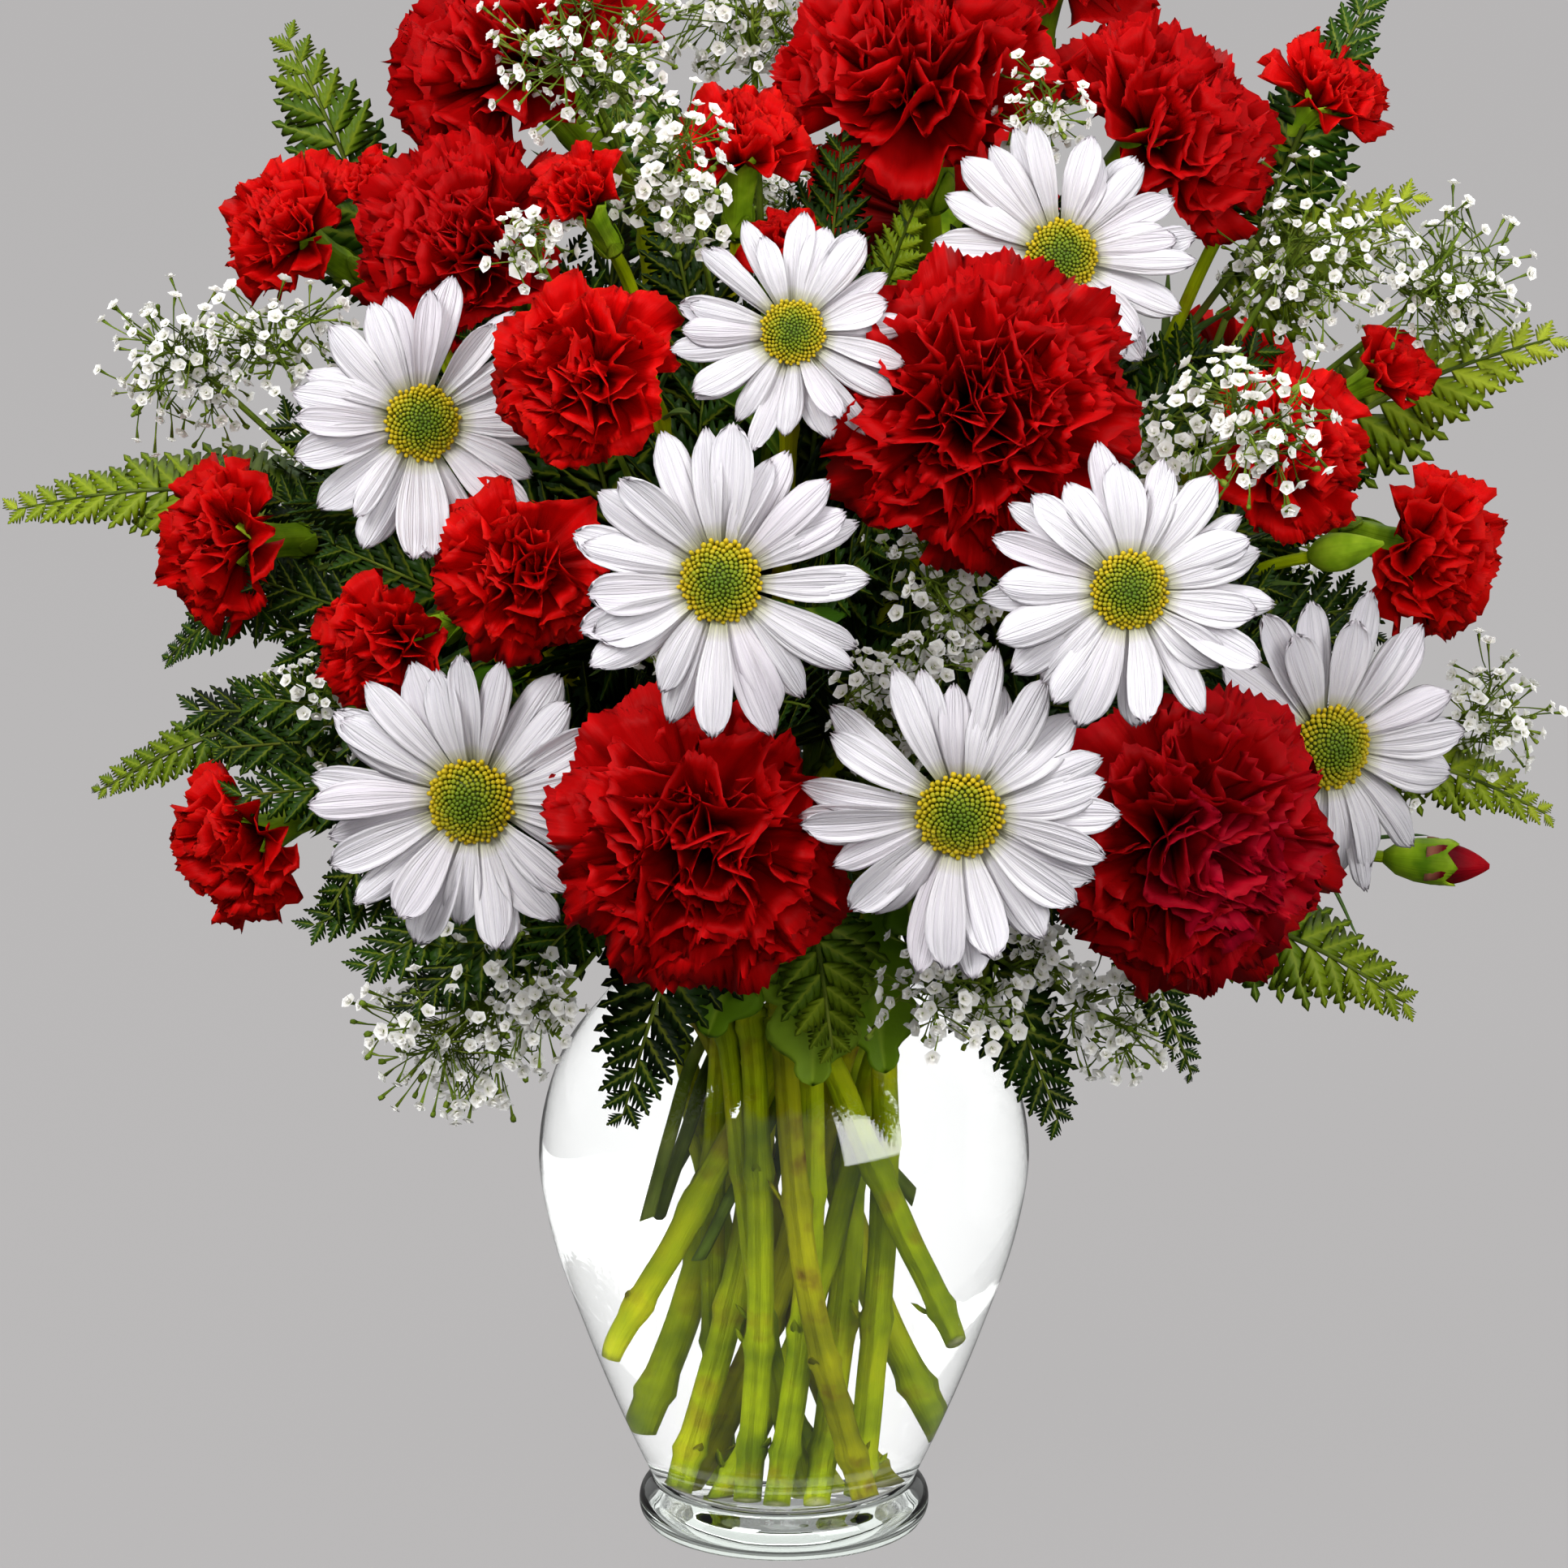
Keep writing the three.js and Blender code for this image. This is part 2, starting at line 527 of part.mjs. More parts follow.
// How far a point of a stem has to move to be clear of the glass, inside it, outside or over it.
function glassPush(p, radius, below) {
  const r = Math.hypot(p.x, p.y);
  const inside = below || r < RIM_MIDDLE;
  const out = new THREE.Vector3(p.x, p.y, 0).divideScalar(Math.max(r, 1e-6));
  const [dr, dz] = [r - RIM_MIDDLE, p.z - (VASE.height - 1)];
  if (dz > 0) {
    const [d, need] = [Math.hypot(dr, dz), radius + SETTLE.overRim];
    if (d >= need) return null;
    return out.multiplyScalar((dr / d) * (need - d)).add(new THREE.Vector3(0, 0, (dz / d) * (need - d)));
  }
  const room = inside
    ? glassRadius(p.z) - radius - SETTLE.inGlass
    : radiusAt(OUTER, p.z) + radius + SETTLE.onGlass;
  return inside === r > room ? out.multiplyScalar(room - r) : null;
}

const LEVEL_POINTS = [0, 2, 3]; // a stem's cut end and its places in the neck and over the rim
const SIDEWAYS = new THREE.Vector3(1, 1, 0);
const ANY_WAY = new THREE.Vector3(1, 1, 1);
const onGrid = (x) => Math.floor(x / SETTLE.grid + 0.5) * SETTLE.grid;

// Bends the chains, a little in each round, until each is smooth and clear of what is round it.
function settle(chains) {
  const round = obstacles();
  chains.forEach((c) => {
    c.shares = c.points.map((p, i) => {
      if (i === 0 || i === c.points.length - 1) return 0;
      const [before, after] = [p.distanceTo(c.points[i - 1]), p.distanceTo(c.points[i + 1])];
      return before / (before + after);
    });
  });
  const segments = chains.flatMap((c) =>
    c.points.slice(1).map((_, i) => {
      const held = i >= c.points.length - c.fixed;
      return { c, i, reach: c.radius + SETTLE.clear, held, below: !c.onto && i < 3 };
    }),
  );
  for (let n = 0; n < SETTLE.rounds; n++) {
    const smoothing = n < SETTLE.early * SETTLE.rounds ? SETTLE.smooth : SETTLE.smoothLate;
    chains.forEach((c) => {
      if (c.onto) c.points[0].copy(pointAt(c.onto.chain, c.onto.place));
      c.moves = c.points.map(() => new THREE.Vector3());
      for (let i = 1; i + 1 < c.points.length; i++) {
        const between = lerp(c.points[i - 1], c.points[i + 1], c.shares[i]);
        c.moves[i].add(between.sub(c.points[i]).multiplyScalar(smoothing));
      }
      if (c.anchor) c.moves.at(-1).add(c.anchor.clone().sub(c.points.at(-1)).multiplyScalar(SETTLE.anchor));
    });
    const push = ({ c, i }, t, v, share) => {
      c.moves[i].addScaledVector(v, share * (1 - t));
      c.moves[i + 1].addScaledVector(v, share * t);
    };
    segments.forEach((one, k) => {
      const [p, q] = [one.c.points[one.i], one.c.points[one.i + 1]];
      segments.slice(k + 1).forEach((other) => {
        if (other.c.family === one.c.family) return;
        const [u, v] = [other.c.points[other.i], other.c.points[other.i + 1]];
        const [s, t] = nearest(p, q, u, v);
        const apart = lerp(p, q, s).sub(lerp(u, v, t));
        const [d, need] = [apart.length(), one.reach + other.reach];
        if (d < need && d > 1e-6) {
          apart.multiplyScalar((need - d) / d);
          push(one, s, apart, other.held ? 1 : SETTLE.push);
          push(other, t, apart, one.held ? -1 : -SETTLE.push);
        }
      });
      for (const t of [0, 0.25, 0.5, 0.75, 1]) {
        const at = lerp(p, q, t);
        round.forEach((b) => {
          const need = b.radius + one.reach;
          const d = at.distanceTo(b.at);
          if (b.name !== one.c.head && d < need) {
            push(one, t, at.clone().sub(b.at).multiplyScalar((need - d) / Math.max(d, 1e-6)), SETTLE.push);
          }
        });
        const glass = glassPush(at, one.c.radius, one.below);
        if (glass) push(one, t, glass, SETTLE.pushGlass);
      }
    });
    chains.forEach((c) =>
      c.points.forEach((p, i) => {
        const held = i >= c.points.length - c.fixed || (i === 0 && c.onto);
        if (held) return;
        const level = !c.onto && LEVEL_POINTS.includes(i);
        p.add(c.moves[i].clampLength(0, SETTLE.longest).multiply(level ? SIDEWAYS : ANY_WAY));
        p.set(onGrid(p.x), onGrid(p.y), onGrid(p.z));
      }),
    );
  }
  return chains;
}

const chains = settle(families());
// Fronds and clouds start where their settled branches end.
[...FRONDS, ...CLOUDS].forEach((x) => x.base.copy(x.chain.points.at(-1)));
CLOUDS.forEach((c) => (c.chain.floret = vec(c.at)));
const familyChains = (name) => chains.filter((c) => c.family === name);
const headOf = (name) => HEADS.find((h) => h.name === name);

// A gypsophila floret: the end of its stalk swells into a small round head.
const FLORET = 2.8;
const BEAD_RADII = [0.45, FLORET, 0.6];
const beadPoints = (from, to) => {
  const onward = to.clone().sub(from).normalize();
  return [-0.8 * FLORET, 0, 0.8 * FLORET].map((offset) => to.clone().addScaledVector(onward, offset));
};

// A chain as points and radii, with the calyx, receptacle or floret at its tip.
function chainProfile(c) {
  const points = c.points.map((p) => p.clone());
  const radii = points.map((_, i) => THREE.MathUtils.lerp(c.radius, c.tipRadius, i / (points.length - 1)));
  const head = c.head && headOf(c.head);
  if (head) {
    const R = head.radius;
    const at = (t) => lerp(head.base, head.mouth, t);
    if (head.kind === "daisy") {
      points.push(at(0.6), at(1));
      radii.push(0.2 * R, 0.22 * R);
    } else if (head.kind === "bud") {
      points.push(at(0.35), at(0.9), at(1.5));
      radii.push(0.55 * R, 0.62 * R, 0.1 * R);
    } else {
      points.push(at(0.3), at(1));
      radii.push(CALYX.waist * R, CALYX.mouth * R);
    }
  }
  if (c.floret) {
    points.push(...beadPoints(points.at(-1), c.floret));
    radii.push(...BEAD_RADII);
  }
  return { points, radii };
}

const SIDES = { thick: 5, thin: 4, wiry: 3 };
const sidesOf = (c) => (c.radius > 2.6 ? SIDES.thick : c.radius > 1.4 ? SIDES.thin : SIDES.wiry);

function stemSolid(c) {
  const { points, radii } = chainProfile(c);
  return solidOf(stemGeometry(points, radii, sidesOf(c)));
}

// ---------- Fern ----------
// A frond: a rib with pointed leaflets cut to it on both sides, arched along its length.
function frondGeometry({ base, tip, width, leaflets }, grow = 0) {
  const end = vec(tip);
  const direction = end.clone().sub(base);
  const up = new THREE.Vector3(0, -0.75, 0.66);
  const across = direction.clone().cross(up).normalize();
  const normal = across.clone().cross(direction).normalize();
  const length = direction.length();
  const rib = (s) =>
    base.clone().addScaledVector(direction, s).addScaledVector(normal, 0.1 * length * Math.sin(Math.PI * s));
  const point = (s, w) => rib(s).addScaledVector(across, w).addScaledVector(normal, -0.12 * Math.abs(w));
  const top = [];
  const faces = [];
  const edge = { left: [], right: [] };
  const add = (p) => top.push(p) - 1;
  for (let i = 0; i <= leaflets; i++) {
    const s = (0.92 * i) / leaflets;
    const ribHalf = 1.5 - 0.7 * s + grow;
    edge.left.push(add(point(s, -ribHalf)));
    edge.right.push(add(point(s, ribHalf)));
    if (i) {
      const [l, r] = [edge.left, edge.right].map((e) => [e.at(-2), e.at(-1)]);
      faces.push([l[0], r[0], r[1]], [l[0], r[1], l[1]]);
    }
  }
  for (const [side, ribs] of [[-1, edge.left], [1, edge.right]]) {
    for (let i = leaflets - 1; i >= 0; i--) {
      const s = (0.92 * (i + 0.5)) / leaflets;
      const reach = width * (1 - 0.86 * s) * (0.92 + 0.16 * chance(i + 7 * side + width)) + 2 * grow;
      const leafTip = add(point(s + 0.62 * (reach / length), side * reach));
      faces.push(side > 0 ? [ribs[i], leafTip, ribs[i + 1]] : [ribs[i], ribs[i + 1], leafTip]);
    }
  }
  const last = add(point(1 + (2 * grow) / length, 0));
  faces.push([edge.left.at(-1), edge.right.at(-1), last]);
  return thickened(top, faces, normal, 0.9 + 2 * grow);
}

// Gives a sheet of triangles a thickness: the same triangles below, and walls round the rim.
function thickened(top, faces, normal, thickness) {
  const n = top.length;
  const points = [
    ...top.map((p) => p.clone().addScaledVector(normal, thickness / 2)),
    ...top.map((p) => p.clone().addScaledVector(normal, -thickness / 2)),
  ];
  const edges = new Set(faces.flatMap(([a, b, c]) => [`${a},${b}`, `${b},${c}`, `${c},${a}`]));
  const walls = [...edges]
    .map((e) => e.split(",").map(Number))
    .filter(([a, b]) => !edges.has(`${b},${a}`))
    .flatMap(([a, b]) => [[b, a, a + n], [b, a + n, b + n]]);
  return geometryOf(points, [...faces, ...faces.map(([a, b, c]) => [c + n, b + n, a + n]), ...walls]);
}

// ---------- Gypsophila ----------
const floretSolid = (from, to) =>
  solidOf(stemGeometry([from, ...beadPoints(from, to)], [0.5, ...BEAD_RADII], SIDES.wiry));

// ---------- Assembly ----------
const material = (color, roughness, extra = {}) =>
  new THREE.MeshStandardMaterial({ color, roughness, metalness: 0, ...extra });
const MATERIALS = {
  glass: material(0xe8f2ee, 0.05, { transparent: true, opacity: 0.35 }),
  water: material(0xeef6f2, 0.05, { transparent: true, opacity: 0.25 }),
  red: material(0xb00c12, 0.6),
  white: material(0xf4f1f2, 0.55),
  stem: material(0x6f7a1c, 0.5),
  calyx: material(0x55701f, 0.5),
  fern: material(0x2f4d16, 0.6),
  gypsophila: material(0xe9e9dc, 0.7),
};

const group = new THREE.Group();
const solids = new Map(); // every solid made so far, by name
const keep = (name, solid, look) => {
  solids.set(name, solid);
  group.add(meshOf(name, solid, MATERIALS[look]));
};

const boxesTouch = (a, b, room = 1) => {
  const [p, q] = [a.boundingBox(), b.boundingBox()];
  return [0, 1, 2].every((k) => p.min[k] < q.max[k] + room && q.min[k] < p.max[k] + room);
};
const cutBy = (solid, spaces) => {
  const near = spaces.filter((s) => boxesTouch(solid, s));
  const cut = near.reduce((left, s) => left.subtract(s), solid);
  return near.length ? mainBody(cut) : solid;
};
const isClear = (solid, others) =>
  others.every((o) => !boxesTouch(solid, o) || solid.minGap(o, 1) > NEAREST_FLORET);

function vaseSolid() {
  const outside = [[0, 0], ...OUTER];
  return solidOf(turned([...outside, ...INNER, [0, VASE.floor]], VASE.sides));
}

function waterSolid(holes) {
  const wet = [...INNER].reverse().filter(([, z]) => z < WATER_LEVEL);
  const side = wet.map(([r, z]) => [r - GAP / Math.cos(Math.PI / VASE.sides), z + GAP]);
  const top = glassRadius(WATER_LEVEL) - 2 * GAP;
  const profile = [[0, VASE.floor + GAP], ...side, [top, WATER_LEVEL], [0, WATER_LEVEL]];
  const body = solidOf(turned(profile, VASE.sides));
  return mainBody(holes.filter((h) => boxesTouch(body, h)).reduce((left, h) => left.subtract(h), body));
}

// The space round every stem, which petals, leaves and water keep out of.
const stemSpaces = chains.map((c) => ({ family: c.family, head: c.head, space: stemSpace(c) }));
function stemSpace(c) {
  const { points, radii } = chainProfile(c);
  const foot = points[0].clone().sub(points[1]).setLength(GAP);
  if (!c.onto) points[0] = points[0].clone().add(foot);
  const sides = sidesOf(c);
  const grow = GAP / Math.cos(Math.PI / sides);
  return solidOf(stemGeometry(points, radii.map((r) => r + grow + 0.05), sides));
}

keep("vase", vaseSolid(), "glass");
keep("water", waterSolid(stemSpaces.map((s) => s.space)), "water");

// Heads first, each cut back from the stems and from the heads before it.
const headSpaces = [];
const headSolids = new Map();
function addHead(head, local, space, spin) {
  const put = (g) => placed(g, head.mouth, head.direction, spin);
  const others = [...stemSpaces.filter((s) => s.head !== head.name).map((s) => s.space), ...headSpaces];
  const solid = cutBy(solidOf(put(local)), others);
  headSpaces.push(solidOf(put(space)));
  headSolids.set(head.name, solid);
}
LARGE_CARNATIONS.forEach((b, i) =>
  addHead(headOf(b.name), carnationHead(b, "large"), carnationSpace(b.radius), i),
);
[...SMALL_CARNATIONS, ...FUSED_BLOOMS].forEach((b, i) =>
  addHead(headOf(b.name), carnationHead(b, "small"), carnationSpace(b.radius), 2 * i),
);
DAISIES.forEach((b, i) => addHead(headOf(b.name), daisyHead(b), daisySpace(b.radius), 3 * i));

const redHeads = [...LARGE_CARNATIONS, ...SMALL_CARNATIONS];
redHeads.forEach((b) => keep(b.name, headSolids.get(b.name), "red"));
DAISIES.forEach((b) => keep(b.name, headSolids.get(b.name), "white"));

// The green of each stem: main stem, branches, calyces, and what is fused to them.
const stemFamilies = [...new Set(chains.map((c) => c.family))];
const isLeafy = (family) => /^(fern|gypsophila)/.test(family);
stemFamilies.filter((f) => !isLeafy(f)).forEach((family) => {
  const parts = familyChains(family).map((c) => stemSolid(c));
  FUSED_BLOOMS.filter((b) => b.stem === family).forEach((b) => {
    const head = headOf(b.name);
    const plug = turned([[0, -2], [0.12 * b.radius, -2], [0.12 * b.radius, 3], [0, 3]], 5);
    parts.push(solidOf(placed(plug, head.mouth, head.direction)), headSolids.get(b.name));
  });
  const name = family.startsWith("carnation") ? `stem_of_${family}` : family;
  keep(name, mainBody(joined(parts)), family.startsWith("daisy") ? "stem" : "calyx");
});

// The glass from outside, grown, for what hangs over its shoulder.
const vaseSpace = solidOf(
  turned([[0, -1], ...OUTER.map(([r, z]) => [r + 1.6, z]), [0, VASE.height + 0.5]], VASE.sides),
);
const bladeSpaces = [];
stemFamilies.filter((f) => f.startsWith("fern")).forEach((family) => {
  const stems = familyChains(family).map((c) => stemSolid(c));
  const others = [
    vaseSpace, ...headSpaces, ...bladeSpaces,
    ...stemSpaces.filter((s) => s.family !== family).map((s) => s.space),
  ];
  const fronds = FRONDS.filter((f) => f.stem === family);
  const blades = fronds.map((f) => cutBy(solidOf(frondGeometry(f)), others));
  bladeSpaces.push(...fronds.map((f) => solidOf(frondGeometry(f, GAP + 0.05))));
  keep(family, mainBody(joined([...stems, ...blades])), "fern");
});

stemFamilies.filter((f) => f.startsWith("gypsophila")).forEach((family) => {
  const stems = familyChains(family).map((c) => stemSolid(c));
  const others = [...solids].filter(([name]) => name !== "vase" && name !== "water").map(([, s]) => s);
  const florets = CLOUDS.filter((c) => c.stem === family).flatMap((c, ci) => {
    const made = [];
    for (let k = 0; made.length + 1 < c.florets && k < 60; k++) {
      const [a, b, r] = [1, 2, 3].map((n) => chance(97 * ci + 13 * k + n + c.at[0]));
      const spread = facing(360 * a, Math.asin(2 * b - 1) * (180 / Math.PI));
      const to = vec(c.at).addScaledVector(spread, c.radius * (0.55 + 0.5 * r));
      const from = lerp(c.base, c.chain.points.at(-2), (0.9 * made.length) / c.florets);
      const one = floretSolid(from, to);
      if (isClear(one, others)) made.push(one);
    }
    return made;
  });
  keep(family, mainBody(joined([...stems, ...florets])), "gypsophila");
});

export default group;
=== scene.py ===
import math

import bpy
import numpy as np
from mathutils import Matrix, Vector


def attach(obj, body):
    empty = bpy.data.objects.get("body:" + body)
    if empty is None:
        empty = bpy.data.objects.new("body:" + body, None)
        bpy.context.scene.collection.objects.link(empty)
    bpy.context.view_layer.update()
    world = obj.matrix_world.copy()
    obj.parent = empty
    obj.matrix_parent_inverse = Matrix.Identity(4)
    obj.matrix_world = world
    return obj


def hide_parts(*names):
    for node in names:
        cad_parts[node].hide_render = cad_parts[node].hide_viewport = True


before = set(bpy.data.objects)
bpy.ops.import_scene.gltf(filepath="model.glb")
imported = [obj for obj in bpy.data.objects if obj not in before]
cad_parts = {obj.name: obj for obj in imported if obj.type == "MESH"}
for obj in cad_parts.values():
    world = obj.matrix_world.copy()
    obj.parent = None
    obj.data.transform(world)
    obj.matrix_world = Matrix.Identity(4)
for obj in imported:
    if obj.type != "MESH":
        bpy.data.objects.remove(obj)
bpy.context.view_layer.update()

# Carnations, daisies, fern and gypsophila in a glass vase. Shapes are worked out in millimetres,
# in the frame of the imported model, and are turned to metres where a mesh is made.
perMetre = 1000.0


def hexToLinear(text):
    # sRGB hex to linear, by the two pieces of the sRGB curve.
    raw = np.array([int(text[i:i + 2], 16) / 255 for i in (0, 2, 4)])
    linear = np.where(raw <= 0.04045, raw / 12.92, ((raw + 0.055) / 1.055) ** 2.4)
    return (*map(float, linear), 1.0)


def setInputs(tree, node, inputs):
    for key, value in inputs.items():
        if isinstance(value, bpy.types.NodeSocket):
            tree.links.new(value, node.inputs[key])
        else:
            node.inputs[key].default_value = value


def addNode(tree, kind, settings=None, inputs=None):
    # settings are the node's own properties; inputs are values, or sockets to link from.
    node = tree.nodes.new(kind)
    for key, value in (settings or {}).items():
        setattr(node, key, value)
    setInputs(tree, node, inputs or {})
    return node


def colourRamp(tree, factor, stops):
    ramp = addNode(tree, "ShaderNodeValToRGB", inputs={"Fac": factor})
    elements = ramp.color_ramp.elements
    while len(elements) < len(stops):
        elements.new(0.5)
    for element, (place, colour) in zip(elements, stops):
        element.position = place
        element.color = hexToLinear(colour)
    return ramp.outputs["Color"]


def newMaterial(name):
    material = bpy.data.materials.new(name)
    material.use_nodes = True
    tree = material.node_tree
    tree.nodes.clear()
    output = addNode(tree, "ShaderNodeOutputMaterial")
    surface = addNode(tree, "ShaderNodeBsdfPrincipled")
    tree.links.new(surface.outputs["BSDF"], output.inputs["Surface"])
    return material, tree, surface


def unit(vectors):
    length = np.linalg.norm(vectors, axis=-1, keepdims=True)
    return vectors / np.maximum(length, 1e-9)


def gridQuads(index, closed=False):
    # Quads of grids of vertex numbers (..., rows, columns), turned so that they face up where
    # the columns run along x and the rows along y.
    if closed:
        index = np.concatenate([index, index[..., :1]], axis=-1)
    corners = (index[..., :-1, :-1], index[..., :-1, 1:], index[..., 1:, 1:], index[..., 1:, :-1])
    return np.stack(corners, axis=-1).reshape(-1, 4)


def thinShells(top, thickness, tone=None, look=0):
    # Closed blades from sheets (count, rows, columns, 3): an under side lies a thickness below
    # along the sheet's normal, and both sides share the rim.
    count, rows, columns, _ = top.shape
    normal = unit(np.cross(np.gradient(top, axis=2), np.gradient(top, axis=1)))
    under = (top - thickness * normal)[:, 1:-1, 1:-1].reshape(count, -1, 3)
    points = np.concatenate([top.reshape(count, -1, 3), under], axis=1)
    upper = np.arange(rows * columns).reshape(rows, columns)
    lower = upper.copy()
    lower[1:-1, 1:-1] = rows * columns + np.arange((rows - 2) * (columns - 2)).reshape(rows - 2, columns - 2)
    faces = np.concatenate([gridQuads(upper), gridQuads(lower)[:, ::-1]])
    offset = (np.arange(count) * points.shape[1])[:, None, None]
    across, along = np.meshgrid(np.linspace(0, 1, columns), np.linspace(0, 1, rows))
    one = np.stack([across, along], axis=-1)
    uv = np.concatenate([one.reshape(-1, 2), one[1:-1, 1:-1].reshape(-1, 2)])
    tone = np.zeros(count) if tone is None else tone
    return {
        "points": points.reshape(-1, 3),
        "quads": (faces[None] + offset).reshape(-1, 4),
        "uv": np.tile(uv, (count, 1)),
        "tone": np.repeat(tone, points.shape[1]),
        "look": look,
    }


def closedRings(rings, tone=0.0, look=0, lengths=None):
    # Closed tubes through rings (count, rows, sides, 3), with a pole in the middle of each end ring.
    rings = rings if rings.ndim == 4 else rings[None]
    count, rows, sides, _ = rings.shape
    ends = rings[:, [0, -1]].mean(axis=2)
    index = np.arange(rows * sides).reshape(rows, sides)
    around, following = np.arange(sides), np.roll(np.arange(sides), -1)
    first = np.full(sides, rows * sides)
    caps = np.concatenate([np.stack([first, following, around], axis=1),
                           np.stack([first + 1, index[-1], index[-1][following]], axis=1)])
    offset = (np.arange(count) * (rows * sides + 2))[:, None, None]
    lengths = np.broadcast_to(np.linspace(0, 1, rows) if lengths is None else lengths, (count, rows))
    tone = np.broadcast_to(tone, (count, rows))
    uv = np.stack(np.broadcast_arrays(around / sides, lengths[..., None]), axis=-1).reshape(count, -1, 2)
    endUv = np.stack([np.full((count, 2), 0.5), lengths[:, [0, -1]]], axis=-1)
    return {
        "points": np.concatenate([rings.reshape(count, -1, 3), ends], axis=1).reshape(-1, 3),
        "quads": (gridQuads(index, closed=True)[None] + offset).reshape(-1, 4),
        "tris": (caps[None] + offset).reshape(-1, 3),
        "uv": np.concatenate([uv, endUv], axis=1).reshape(-1, 2),
        "tone": np.concatenate([np.repeat(tone, sides, axis=1), tone[:, [0, -1]]], axis=1).ravel(),
        "look": look,
    }


def turnedShell(profile, sides, wobble=None, tone=0.0, look=0):
    # A profile of (radius, height) points turned about z, closed by a pole at each end. wobble
    # adds a radius and a height to each ring and side.
    angle = np.linspace(0, 2 * np.pi, sides, endpoint=False)
    profile = np.asarray(profile, float)
    radius, height = (np.repeat(profile[:, k:k + 1], sides, axis=1) for k in (0, 1))
    if wobble is not None:
        radius, height = radius + wobble[0], height + wobble[1]
    rings = np.stack([radius * np.cos(angle), radius * np.sin(angle), height], axis=-1)
    return closedRings(rings, tone=tone, look=look)


def tubes(paths, radii, sides, look=0, lengths=None, ridges=0.0, slant=0.0):
    # Round stems: rings about each path (count, rows, 3), square to it, with radii (count, rows).
    # ridges swells and shrinks the ring five times round; slant tilts the first ring, as a cut does.
    heading = unit(np.gradient(paths, axis=1))
    least = np.abs(heading).max(axis=1).argmin(axis=1)
    side = unit(np.cross(np.eye(3)[least][:, None], heading))
    across = np.cross(heading, side)
    angle = np.linspace(0, 2 * np.pi, sides, endpoint=False)
    ring = side[:, :, None] * np.cos(angle)[:, None] + across[:, :, None] * np.sin(angle)[:, None]
    swell = radii[:, :, None, None] * (1 + ridges * np.cos(5 * angle))[:, None]
    rings = paths[:, :, None] + swell * ring
    tilt = slant * np.cos(angle)[None, :, None] * radii[:, :1, None] * heading[:, :1]
    rings[:, 0] += tilt
    return closedRings(rings, look=look, lengths=lengths)


def curveThrough(points, at=None, spacing=3.0):
    # A smooth curve: cubic pieces over the length of the chords, whose slope at each point is that
    # of a parabola through it and its neighbours. Gives the points and how far along they are.
    points = np.asarray(points, float)
    chord = np.concatenate([[0], np.cumsum(np.linalg.norm(np.diff(points, axis=0), axis=1))])
    slope = np.gradient(points, chord, axis=0)
    if at is None:
        at = np.linspace(0, chord[-1], max(3, int(chord[-1] / spacing) + 2))
    i = np.clip(np.searchsorted(chord, at, side="right") - 1, 0, len(chord) - 2)
    width = (chord[i + 1] - chord[i])[:, None]
    t = (at - chord[i])[:, None] / width
    curve = ((2 * t**3 - 3 * t**2 + 1) * points[i] + (t**3 - 2 * t**2 + t) * width * slope[i]
             + (3 * t**2 - 2 * t**3) * points[i + 1] + (t**3 - t**2) * width * slope[i + 1])
    return curve, at


def pointsAlong(path, along, places):
    # The points of a path at some places along it.
    return np.stack([np.interp(places, along, path[:, k]) for k in range(3)], axis=-1)


def eased(x):
    x = np.clip(x, 0, 1)
    return x * x * (3 - 2 * x)


def moved(shell, matrix, place):
    # Turns a shell by a 3 by 3 matrix whose columns are its new axes, and moves it.
    return {**shell, "points": shell["points"] @ np.asarray(matrix).T + place}


def copied(shell, matrices, places, tones):
    # Many copies of a small shell: matrices (count, 3, 3), places (count, 3), tones (count,).
    count, size = len(places), len(shell["points"])
    points = np.einsum("kij,nj->kni", matrices, shell["points"]) + places[:, None]
    offset = (np.arange(count) * size)[:, None, None]
    out = {**shell, "points": points.reshape(-1, 3), "uv": np.tile(shell["uv"], (count, 1))}
    for key in ("quads", "tris"):
        if key in shell:
            out[key] = (shell[key][None] + offset).reshape(-1, shell[key].shape[1])
    out["tone"] = np.repeat(tones, size)
    return out


def axesAlong(direction, spin=0.0):
    # Columns x, y, z of a frame whose z is the direction, turned by spin about it.
    z = unit(np.asarray(direction, float))
    guess = np.where(np.abs(z[..., 2:]) < 0.94, np.array([0.0, 0.0, 1.0]), np.array([0.0, -1.0, 0.0]))
    x = unit(np.cross(guess, z))
    y = np.cross(z, x)
    spin = np.asarray(spin, float)[..., None]
    return np.stack([np.cos(spin) * x + np.sin(spin) * y, np.cos(spin) * y - np.sin(spin) * x, z], axis=-1)


